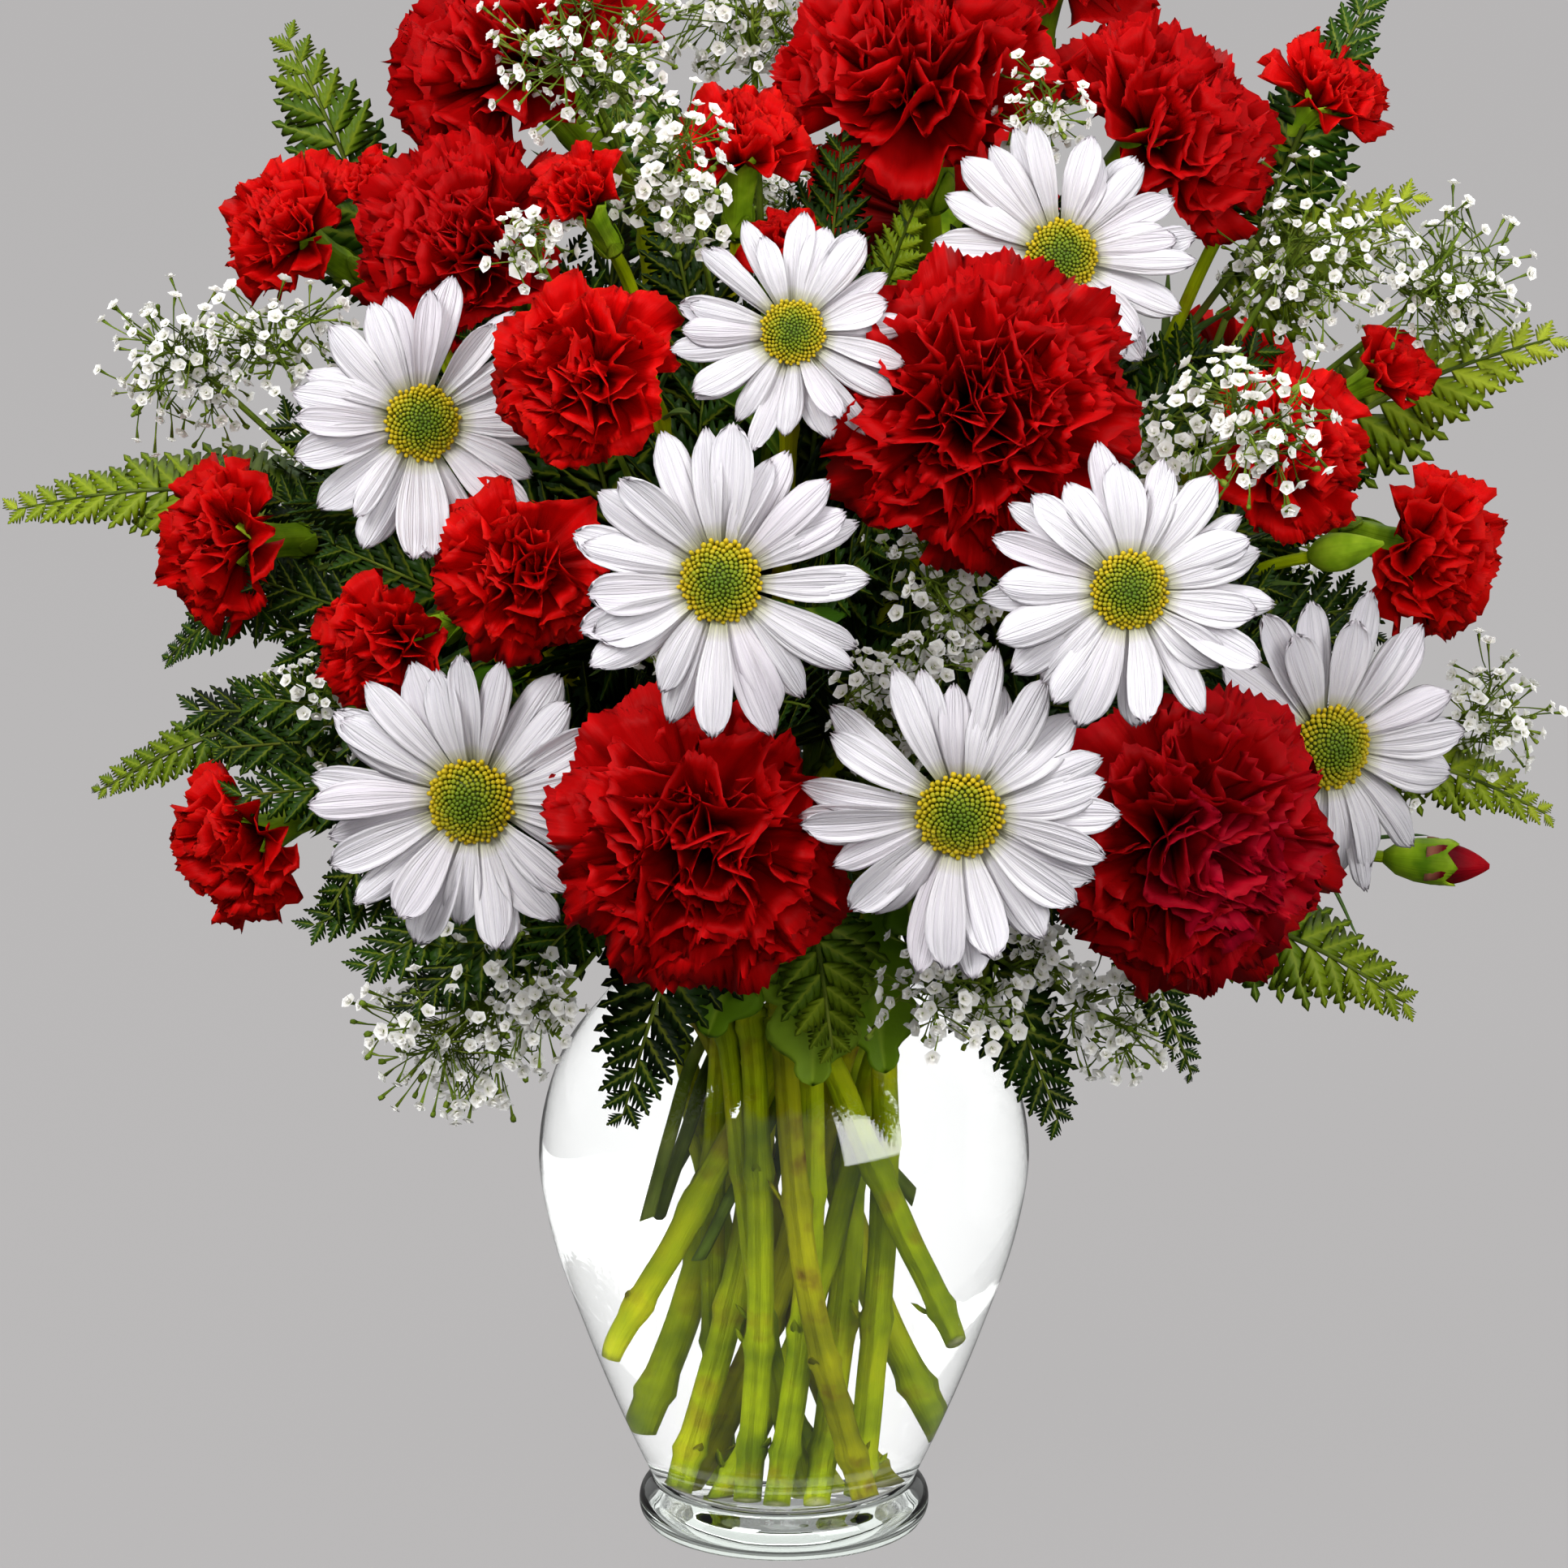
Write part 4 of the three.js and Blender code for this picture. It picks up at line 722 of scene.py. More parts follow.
def carnationPetal(name, look):
    # A fresh carnation petal: soft, matt skin with fine veins. Gives a velvet red with a tan claw, a dark red
    # band of painted shade where the petal lies deep inside the bloom, and a brighter red rim along the cut
    # edge as a painted highlight.
    material, tree, surface = newMaterial(name)
    uv, along, tone, place = readings(tree, "uv", "along", "tone", "place")
    # Along the petal: tan claw, dark red as painted shade from a quarter to near half its length, body red,
    # and at the tip the edge red, a painted highlight.
    colour = colourRamp(tree, along, [
        (0.0, "b88a6a"), (0.25, look["deep"]), (0.45, look["deep"]), (0.78, look["body"]),
        (0.94, look["body"]), (1.0, look["edge"])])
    colour = tinted(tree, colour, ranged(tree, tone, 0.45, 1.0), look["heartShare"], look["heart"])
    veins = noiseAt(tree, uv, 1.0, (34, 2.2, 1), 3.0)  # a vein each millimetre or so across a petal
    patches = noiseAt(tree, place, 160.0)  # cloudy patches 6 mm across
    factor = maths(tree, "MULTIPLY", maths(tree, "MULTIPLY_ADD", veins, 0.26, 0.76),
                   maths(tree, "MULTIPLY_ADD", patches, 0.5, 0.75))
    grey = addNode(tree, "ShaderNodeCombineXYZ", inputs={"X": factor, "Y": factor, "Z": factor})
    colour = mixed(tree, 1.0, colour, grey.outputs["Vector"], "MULTIPLY")
    setInputs(tree, surface, {
        "Base Color": colour, "Roughness": 0.6, "Specular IOR Level": 0.1, "Normal": bumpOf(tree, veins, 0.3),
    })
    letThrough(tree, surface, colour, 0.22)
    return material


def daisyRay():
    # A daisy's white ray: thin, satiny, grooved lengthwise. Gives a bright white, a yellow-green root
    # darkened to olive as painted shade round the disc, and lilac-grey lines along it as painted shade in its
    # fine grooves.
    material, tree, surface = newMaterial("white_daisy_ray")
    uv, along, tone = readings(tree, "uv", "along", "tone")
    # Along the ray: a dark olive root, partly its own yellow-green base and partly painted shade round the
    # disc, then white, with a lilac tinge at the tip.
    colour = colourRamp(tree, along, [
        (0.0, "707418"), (0.09, "bcbc78"), (0.22, "ebe8ea"), (0.85, "f3f1f5"), (1.0, "e6dee6")])
    lines = noiseAt(tree, uv, 1.0, (16, 0.9, 1))  # a line each half millimetre or so across a ray
    lines = ranged(tree, lines, 0.38, 0.62)
    # Lilac-grey in the fine lines along the ray, strongest towards the root: painted shade in its grooves.
    colour = tinted(tree, colour, lines, ranged(tree, along, 0.75, 1.0, 0.32, 0.05), "c2bacc")
    colour = tinted(tree, colour, tone, 0.5, "dccfdb")
    setInputs(tree, surface, {
        "Base Color": colour, "Roughness": 0.5, "Specular IOR Level": 0.35, "Sheen Weight": 0.12,
        "Normal": bumpOf(tree, lines, 0.25),
    })
    letThrough(tree, surface, colour, 0.25)
    return material


def discFloret():
    # The imported florets of a daisy's disc: waxy. Green in the middle and yellow round the edge, darkening
    # to olive towards each floret's foot as painted shade between the florets.
    material, tree, surface = newMaterial("disc_floret")
    along, tone = readings(tree, "along", "tone")
    colour = colourRamp(tree, tone, [
        (0.0, "4e6808"), (0.35, "6a7c08"), (0.62, "92900a"), (0.85, "b8a00a"), (1.0, "c8aa0c")])
    # Dark olive towards the foot of each floret: painted shade between them.
    colour = tinted(tree, colour, maths(tree, "SUBTRACT", 1.0, along), 0.75, "3c420c")
    setInputs(tree, surface, {"Base Color": colour, "Roughness": 0.55, "Specular IOR Level": 0.3})
    return material


def greenSkin(name, look):
    # A young stem or calyx: smooth waxed skin over green flesh, with fine lines along it. Gives a
    # soft shine and slow changes of green, with brown where it is old. UV runs once round a stem
    # and in millimetres along it.
    material, tree, surface = newMaterial(name)
    uv, tone, place = readings(tree, "uv", "tone", "place")
    patches = noiseAt(tree, place, look["patches"], detail=3.0)
    colour = colourRamp(tree, patches, [(0.3, look["dark"]), (0.52, look["body"]), (0.72, look["light"])])
    streaks = noiseAt(tree, uv, 1.0, (look["lines"], 0.06, 1), 3.0)
    colour = tinted(tree, colour, streaks, look["streak"], look["dark"])
    spots = ranged(tree, noiseAt(tree, place, 90.0, detail=4.0), 0.56, 0.7)
    colour = tinted(tree, colour, spots, look["oldShare"], look["old"])
    # Tone is 1 on the pale pith of a cut end and 0 elsewhere.
    colour = mixed(tree, tone, colour, hexToLinear(look["cut"]))
    setInputs(tree, surface, {
        "Base Color": colour, "Roughness": 0.6, "Specular IOR Level": 0.1,
        "Normal": bumpOf(tree, streaks, 0.4),
    })
    return material


def leafSkin(name, look):
    # A leaf: leathery upper skin with sunken veins. Gives dark green at the base and fresh yellow-green at
    # young tips; on the fern the darkest end is near black, painted shade for fronds deep among the blooms.
    # Tone is how young the leaf is, and on the fern also how much shade is painted; UV runs 0 to 1 across and
    # along.
    material, tree, surface = newMaterial(name)
    across, tone, place = readings(tree, "across", "tone", "place")
    colour = colourRamp(tree, tone, [
        (0.0, look["old"]), (0.35, look["body"]), (0.75, look["young"]), (1.0, look["tip"])])
    colour = tinted(tree, colour, noiseAt(tree, place, 120.0, detail=3.0), 0.45, look["old"])
    offRib = maths(tree, "ABSOLUTE", maths(tree, "SUBTRACT", across, 0.5))
    colour = tinted(tree, colour, ranged(tree, offRib, 0.0, 0.1, 1.0, 0.0), look["ribShare"], look["tip"])
    setInputs(tree, surface, {
        "Base Color": colour, "Roughness": look["roughness"], "Specular IOR Level": 0.22,
        "Normal": bumpOf(tree, noiseAt(tree, place, 900.0), 0.15),
    })
    letThrough(tree, surface, colour, 0.2)
    return material


def gypsophilaPetal():
    # Gypsophila's small double florets: papery white petals, greenish in the middle.
    material, tree, surface = newMaterial("gypsophila_petal")
    along = readings(tree, "along")[0]
    colour = colourRamp(tree, along, [(0.0, "ccd4a4"), (0.25, "faf8f2"), (1.0, "ffffff")])
    setInputs(tree, surface, {"Base Color": colour, "Roughness": 0.6, "Specular IOR Level": 0.2})
    letThrough(tree, surface, colour, 0.42)
    return material


def clearLiquidOrGlass(name, ior, tint, shadow, depth=None):
    # Clear body: light bends through it by its IOR. Rays to the lamps pass straight through, so
    # that the stems behind it are lit. The glass takes a green tint where one looks far through
    # it, in the foot and along its outline.
    material, tree, surface = newMaterial(name)
    setInputs(tree, surface, {"Base Color": hexToLinear(tint), "Roughness": 0.0, "IOR": ior,
                              "Transmission Weight": 1.0})
    path = addNode(tree, "ShaderNodeLightPath")
    clear = addNode(tree, "ShaderNodeBsdfTransparent", inputs={"Color": hexToLinear(shadow)})
    output = showMixed(tree, path.outputs["Is Shadow Ray"], surface.outputs["BSDF"], clear.outputs["BSDF"])
    if depth:
        body = addNode(tree, "ShaderNodeVolumeAbsorption", inputs={
            "Color": hexToLinear(depth), "Density": 7.0})  # density per metre
        tree.links.new(body.outputs["Volume"], output.inputs["Volume"])
    return material


materials = {
    # Each petal's darkest red is painted shade deep in the bloom, and its edge red is a painted highlight on
    # the rim.
    "deepRed": carnationPetal("deep_red_carnation_petal", {
        "deep": "3a0000", "body": "b80002", "edge": "d40206", "heart": "ac0006", "heartShare": 0.3}),
    "scarlet": carnationPetal("scarlet_spray_carnation_petal", {
        "deep": "5a0000", "body": "d40202", "edge": "ec1408", "heart": "c00006", "heartShare": 0.3}),
    "crimson": carnationPetal("crimson_hearted_carnation_petal", {
        "deep": "3a0002", "body": "a80004", "edge": "c40410", "heart": "c00830", "heartShare": 0.75}),
    "ray": daisyRay(),
    "disc": discFloret(),
    "calyx": greenSkin("waxy_carnation_calyx", {
        "dark": "4c7008", "body": "86a818", "light": "b0cc30", "old": "8a8a30", "cut": "c9d08a",
        "oldShare": 0.2, "patches": 110.0, "lines": 26, "streak": 0.35}),
    "carnationStem": greenSkin("carnation_stem", {
        "dark": "566e00", "body": "b2c202", "light": "e2e00e", "old": "7c5c0a", "cut": "d6d59c",
        "oldShare": 0.5, "patches": 46.0, "lines": 16, "streak": 0.55}),
    "daisyStem": greenSkin("woody_daisy_stem", {
        "dark": "545a00", "body": "b0ae02", "light": "d4ce0a", "old": "6a4210", "cut": "d8cf9a",
        "oldShare": 0.85, "patches": 40.0, "lines": 12, "streak": 0.7}),
    # The fern's old green, near black, is painted shade for the fill fronds and the low fronds among the
    # blooms.
    "fern": leafSkin("leatherleaf_fern", {
        "old": "0a1c02", "body": "335a04", "young": "8ea414", "tip": "b8c430", "ribShare": 0.3,
        "roughness": 0.55}),
    "fernStalk": greenSkin("fern_stalk", {
        "dark": "2c3a0c", "body": "5a6c1c", "light": "8c9a3a", "old": "5a4a1c", "cut": "c9c08a",
        "oldShare": 0.4, "patches": 60.0, "lines": 8, "streak": 0.4}),
    "daisyLeaf": leafSkin("daisy_leaf", {
        "old": "284a04", "body": "4c7c0a", "young": "80a814", "tip": "acc83c", "ribShare": 0.45,
        "roughness": 0.5}),
    "carnationLeaf": leafSkin("glaucous_carnation_leaf", {
        "old": "2a401c", "body": "4a6a2c", "young": "6f8c3c", "tip": "98ac5c", "ribShare": 0.15,
        "roughness": 0.5}),
    "gypsophila": gypsophilaPetal(),
    "gypsophilaStalk": greenSkin("wiry_gypsophila_stalk", {
        "dark": "3a4c0c", "body": "6c8424", "light": "93a83c", "old": "6a5c24", "cut": "b8c47c",
        "oldShare": 0.3, "patches": 90.0, "lines": 6, "streak": 0.3}),
    "glass": clearLiquidOrGlass("clear_soda_lime_glass", 1.5, "fefefe", "f6f8f7", "98b4a0"),
    "water": clearLiquidOrGlass("clear_water", 1.333, "ffffff", "fcfdfc"),
}
print("materials made:", len(materials))


# Stems, with their nodes, cut ends, calyces and leaves.
stemLook = {
    "spacing": 3.0,       # mm between rings
    "sides": 14,
    "nodeEvery": 38.0,    # mm between the swollen nodes of a stem
    "nodeSwell": 0.28,
    "nodeLength": 2.4,
    "ridges": {"daisy": 0.07, "carnation": 0.015, "spray": 0.02},
    "slant": 0.7,         # how far the cut ends are slanted, in radii
    "offGlass": 0.8,      # mm that a smoothed stem keeps off the glass
    "firstNode": 14,      # mm from the lower end of a stem or branch
    # Narrow leaves: their size on each kind, their length in mm and their half width as a share.
    "leaf": {"carnation": 1.0, "spray": 0.7, "long": (26, 48), "wide": 0.045},
}


def chordOf(points):
    return np.concatenate([[0], np.cumsum(np.linalg.norm(np.diff(points, axis=0), axis=1))])


def clearOfGlass(path, along, radius, rimPlace):
    # Keeps a smoothed stem inside the glass below the rim, and outside it after it has left.
    r, z = np.hypot(path[:, 0], path[:, 1]), path[:, 2]
    low = z < vase["height"] + 2
    room = np.interp(z, innerHeight, innerRadius) - radius - stemLook["offGlass"]
    out = np.interp(z, outerHeight, outerRadius) + radius + stemLook["offGlass"]
    inside = along <= rimPlace
    scale = np.where(low & inside, np.minimum(1, room / np.maximum(r, 1e-6)), 1)
    scale = np.where((z < vase["height"]) & ~inside, np.maximum(1, out / np.maximum(r, 1e-6)), scale)
    return np.concatenate([path[:, :2] * scale[:, None], path[:, 2:]], axis=1)


def smoothChain(chain):
    # The chain's smooth path, how far along each ring is, and the radius there.
    points = chain["points"].copy()
    if chain["onto"]:
        parent, place = chain["onto"]
        chord = chordOf(parent["points"])
        where = np.array([np.interp(place, range(len(chord)), chord)])
        points[0] = curveThrough(parent["points"], at=where)[0][0]
    chord = chordOf(points)
    path, along = curveThrough(points, spacing=stemLook["spacing"])
    share = np.interp(along, chord, np.arange(len(chord)) / (len(chord) - 1))
    radius = chain["radius"] + share * (chain["tipRadius"] - chain["radius"])
    rimPlace = -1 if chain["onto"] else chord[3]
    return clearOfGlass(path, along, radius, rimPlace), along, radius


def slantOf(chain):
    # Only the cut ends are slanted.
    return 0.0 if chain["onto"] else stemLook["slant"]


def plainStems(family, sides):
    # The bare green of a fern's or a gypsophila's stem and its branches.
    shells = []
    for chain in (c for c in chains if c["family"] == family):
        path, along, radius = smoothChain(chain)
        shells.append(tubes(path[None], radius[None], sides, look=1, lengths=along, slant=slantOf(chain)))
    return shells


def grouped(items):
    # Fronds or sprays by the stem that they are on.
    groups = {}
    for item in items:
        groups.setdefault(item["stem"], []).append(item)
    return groups


def overRim(away):
    # Where the stalks of the fill pass over the rim of the vase, on one side of it.
    return away * 24 + (0, 0, 192)


def fillStalk(away, base, radius):
    # A bare stalk from the neck of the vase over its rim to where a frond or a spray starts.
    path, along = curveThrough([away * 14 + (0, 0, 150), overRim(away), base], spacing=4.0)
    return tubes(path[None], np.full((1, len(path)), radius), 6, look=1, lengths=along)


def knotted(along, radius, generator):
    # Swells the radius at each node, as bumps in the shape of a bell curve.
    look = stemLook
    places = np.arange(look["firstNode"], along[-1] - 12, look["nodeEvery"])
    places = places + generator.uniform(-6, 6, len(places))
    bells = np.exp(-((along[:, None] - places[None]) / look["nodeLength"]) ** 2).sum(axis=1)
    return radius * (1 + look["nodeSwell"] * bells), places


def narrowLeaves(roots, directions, normals, lengths, widths, droop, tone, look, rows=11, columns=5):
    # Blades in batches. The midline leaves along a direction and bends down by droop times the
    # square of how far along it is; the width rises to its middle and falls to a point; the sides
    # lift into a channel.
    v = np.linspace(0, 1, rows)[None, :, None, None]
    u = np.linspace(-1, 1, columns)[None, None, :, None]
    roots, directions, normals = (x[:, None, None] for x in (roots, directions, normals))
    lengths, widths, droop = (np.asarray(x, float)[:, None, None, None] for x in (lengths, widths, droop))
    across = np.cross(directions, normals)
    half = widths * (0.25 + 0.75 * np.sin(np.pi * v**0.7) ** 0.8) * np.clip((1.02 - v) / 0.35, 0, 1) ** 0.7
    down = np.array([0.0, 0.0, -1.0])
    sheet = (roots + lengths * v * directions + droop * lengths * v**2 * down
             + u * half * across + 0.45 * u**2 * half * normals)
    return thinShells(sheet, 0.5, tone, look)


def stubs(path, along, radius, places, generator):
    # What is left of the leaves stripped from a stem: short points that lean on it at its nodes.
    places = places[places > 8]
    if not len(places):
        return []
    at = pointsAlong(path, along, places)
    heading = unit(pointsAlong(path, along, places + 3) - at)
    frames = axesAlong(heading, generator.uniform(0, 6.28, len(at)))
    out = frames[..., 0]
    r = np.interp(places, along, radius)[:, None]
    return [narrowLeaves(at + 0.8 * r * out, unit(heading + 0.55 * out), unit(out - 0.2 * heading),
                         generator.uniform(3, 7, len(at)), generator.uniform(0.9, 1.5, len(at)),
                         np.zeros(len(at)), np.zeros(len(at)), 0, rows=5, columns=3)]


def fiveTeeth(sides):
    # A zigzag round a ring that rises from 0 to 1 five times.
    return 1 - 2 * np.abs((5 * np.arange(sides) / sides) % 1 - 0.5)


def aroundAxis(near, angle, height, thickness):
    # Thin shells given by their distance from the z axis, their turn about it and their height.
    near, angle, height = np.broadcast_arrays(near, angle, height)
    return thinShells(np.stack([near * np.cos(angle), near * np.sin(angle), height], axis=-1), thickness)


def calyxShells(head, generator):
    # A carnation's calyx: a tube that widens to five pointed teeth, with its inner wall, and four
    # small scales at its foot.
    radius = head["radius"]
    length = 0.75 * radius + 4
    sides = 40
    profile = np.array([
        (2.2, -length - 1), (0.13 * radius + 0.8, -length + 1.0), (0.16 * radius + 0.6, -length + 4),
        (0.175 * radius + 0.4, -0.72 * length), (0.185 * radius, -0.45 * length),
        (0.21 * radius, -0.2 * length), (0.24 * radius, 0), (0.275 * radius, 0.07 * radius),
        (0.29 * radius, 0.12 * radius), (0.275 * radius, 0.115 * radius), (0.225 * radius, 0.0),
        (0.2 * radius, -0.12 * length), (0.15 * radius, -0.3 * length)])
    teeth = fiveTeeth(sides)
    share = np.array([0, 0, 0, 0, 0, 0, 0.15, 0.7, 1, 1, 0.15, 0, 0])[:, None]
    grooved = np.array([0] + [1] * 7 + [0] * 5)[:, None]
    grooves = 0.012 * radius * np.cos(2 * np.pi * 5 * np.arange(sides) / sides) * grooved
    shell = turnedShell(profile, sides,
                        wobble=(0.05 * radius * share * teeth + grooves, 0.26 * radius * share * teeth))
    # Scales: shells that hug the tube, a band of its surface lifted off it.
    u = np.linspace(-1, 1, 7)[None, None, :]
    v = np.linspace(0, 1, 7)[None, :, None]
    turn = (np.pi / 2 * np.arange(4) + generator.uniform(0, 1))[:, None, None]
    long = np.where(np.arange(4) % 2, 0.42, 0.34)[:, None, None] * length
    height = -length + 0.5 + long * v
    near = np.interp(height, profile[:7, 1], profile[:7, 0]) + 0.5 + 0.9 * (v - 0.5) ** 2
    half = 0.85 * (1 - v**1.6) ** 0.8 + 0.02
    scales = aroundAxis(near, turn + u * half, height, 0.35)
    matrix = axesAlong(head["direction"], generator.uniform(0, 6.28))
    return [moved(shell, matrix, head["mouth"]), moved(scales, matrix, head["mouth"])]


def daisyCup(head):
    # The green cup behind a daisy's rays: a shallow bowl with two rows of narrow scales.
    radius = head["radius"]
    profile = [(1.9, -9), (2.6, -7), *((near * radius, z) for near, z in (
        (0.12, -5), (0.2, -2.2), (0.235, 0.4), (0.22, 1.6), (0.12, 2.2)))]
    shells = [turnedShell(profile, 28)]
    u = np.linspace(-1, 1, 3)[None, None, :]
    v = np.linspace(0, 1, 6)[None, :, None]
    row = np.repeat([0, 1], 16)[:, None, None]
    turn = (2 * np.pi * np.arange(32) / 16)[:, None, None] + 0.2 * row
    height = -6.4 + 1.6 * row + 8.2 * v - 1.2 * row * v
    near = np.interp(height, [p[1] for p in profile[:5]], [p[0] for p in profile[:5]]) + 0.5 + 0.25 * row
    near = near + 1.2 * np.clip(v - 0.75, 0, 1)
    shells.append(aroundAxis(near, turn + u * 0.2 * (1 - 0.9 * v**1.7), height, 0.3))
    return [moved(s, axesAlong(head["direction"]), head["mouth"]) for s in shells]


def budShells(head, opening):
    # A closed bud: an egg-shaped calyx with five teeth laid together, or for an open one a short
    # calyx with a twisted point of petals out of it. Gives green shells and red shells.
    radius = head["radius"]
    sides = 30
    height = np.linspace(0, 1, 13)
    tall = 2.4 * radius
    teeth = fiveTeeth(sides)
    base = -calyxLengths["bud"][0] * radius
    if not opening:
        swell = 0.66 * radius * np.sin(np.pi * np.clip(height, 0.02, 1) ** 0.72) ** 0.75
        profile = np.stack([np.maximum(swell * (1 - 0.25 * height), 0.5), base + tall * height], axis=1)
        crease = 0.07 * radius * np.sin(np.pi * height)[:, None] * (teeth - 0.5) * (height > 0.4)[:, None]
        green = turnedShell(profile, sides, wobble=(crease, 0 * crease))
        red = []
    else:
        rows = [(1.6, base - 1), *((near * radius, base + rise * tall) for near, rise in (
            (0.42, 0.1), (0.56, 0.3), (0.6, 0.48), (0.6, 0.58), (0.62, 0.62), (0.56, 0.6), (0.5, 0.5)))]
        share = np.array([0, 0, 0, 0, 0.4, 1, 1, 0])[:, None]
        green = turnedShell(rows, sides,
                            wobble=(-0.04 * radius * share * teeth, 0.3 * radius * share * teeth))
        spiral = np.cos(5 * (2 * np.pi * np.arange(sides) / sides)[None] + 5 * height[:, None])
        profile = np.stack([np.maximum(0.58 * radius * np.sin(np.pi * (0.42 + 0.56 * height)) ** 0.8, 0.4),
                            base + tall * (0.4 + 0.68 * height)], axis=1)
        crease = 0.06 * radius * spiral * (1 - height[:, None])
        red = [turnedShell(profile, sides, wobble=(crease, 0), tone=0.6)]
    matrix = axesAlong(head["direction"])
    return [moved(green, matrix, head["mouth"])], [moved(s, matrix, head["mouth"]) for s in red]


def stemFamily(name, kind, generator):
    # All the green of one stem: its chains, nodes, stubs, calyces or cups, and its leaves. The
    # petals of an open bud become a piece of their own.
    shells = []
    for chain in (c for c in chains if c["family"] == name):
        path, along, radius = smoothChain(chain)
        chain["path"], chain["along"] = path, along
        swollen, places = knotted(along, radius, generator)
        shell = tubes(path[None], swollen[None], stemLook["sides"], lengths=along,
                      ridges=stemLook["ridges"][kind], slant=slantOf(chain))
        shells.append(shell)
        wanted = places
        if not chain["onto"]:
            # The cut end shows pith. Stubs stand below the neck, and leaves start above the rim.
            shell["tone"][-2] = 1.0
            chord = chordOf(chain["points"])
            shells += stubs(path, along, swollen, places[places < chord[2]], generator)
            wanted = places[places > chord[3] + 10]
        if kind in ("carnation", "spray") and len(wanted):
            leaf = stemLook["leaf"]
            at = pointsAlong(path, along, wanted)
            heading = unit(pointsAlong(path, along, wanted + 3) - at)
            spin = generator.uniform(0, 6.28, len(at))
            for turned in (0, np.pi):
                out = axesAlong(heading, spin + turned)[..., 0]
                size = generator.uniform(*leaf["long"], len(at)) * leaf[kind]
                shells.append(narrowLeaves(
                    at, unit(heading + generator.uniform(0.35, 0.9) * out),
                    unit(heading * -0.4 + out) * -1.0, size, leaf["wide"] * size,
                    generator.uniform(0.05, 0.35, len(at)), generator.uniform(0.1, 0.8, len(at)), 2))
        head = headNamed.get(chain["head"])
        if head is None:
            continue
        if head["kind"] == "carnation":
            shells += [{**s, "look": 1} for s in calyxShells(head, generator)]
        elif head["kind"] == "daisy":
            shells += [{**s, "look": 1} for s in daisyCup(head)]
        else:
            green, petals = budShells(head, head["name"] == "red_bud")
            shells += [{**s, "look": 1} for s in green]
            if petals:
                putPiece("petals_of_" + head["name"], petals, ["crimson"])
    return shells


families = list(dict.fromkeys(c["family"] for c in chains))
for number, family in enumerate(families):
    kind = family.split("_")[0]
    if kind in ("carnation", "spray", "daisy"):
        generator = np.random.default_rng(100 + number)
        shells = stemFamily(family, kind, generator)
        green = "daisyStem" if kind == "daisy" else "carnationStem"
        node = f"stem_of_{family}" if kind == "carnation" else family
        putPiece("green_of_" + family, shells, [green, "calyx", "carnationLeaf"],
                 [node])
print("stems made")


# Carnation heads.
carnationLook = {
    # petals, columns and rows of each, and the lift of the outermost petal in degrees
    "large": {"petals": 44, "columns": 37, "rows": 9, "lowest": -14},
    "small": {"petals": 24, "columns": 27, "rows": 8, "lowest": 0},
    "bud": {"petals": 12, "columns": 17, "rows": 7, "lowest": 36},
    "goldenTurn": 2.39996,
    "sunk": 0.4,        # how deep the petals start in the calyx, in radii
    "length": 1.52,     # an outer petal from claw to edge, in radii
    "turnsOver": (0.18, 0.34),  # where a petal starts to turn over and how long that takes
    "width": 0.56,      # half width of an outer petal's edge, in radii
    "ruffle": 0.13,     # height of the ruffles at the edge, in radii
    "teeth": 0.044,     # depth of the teeth along the edge, in radii
}


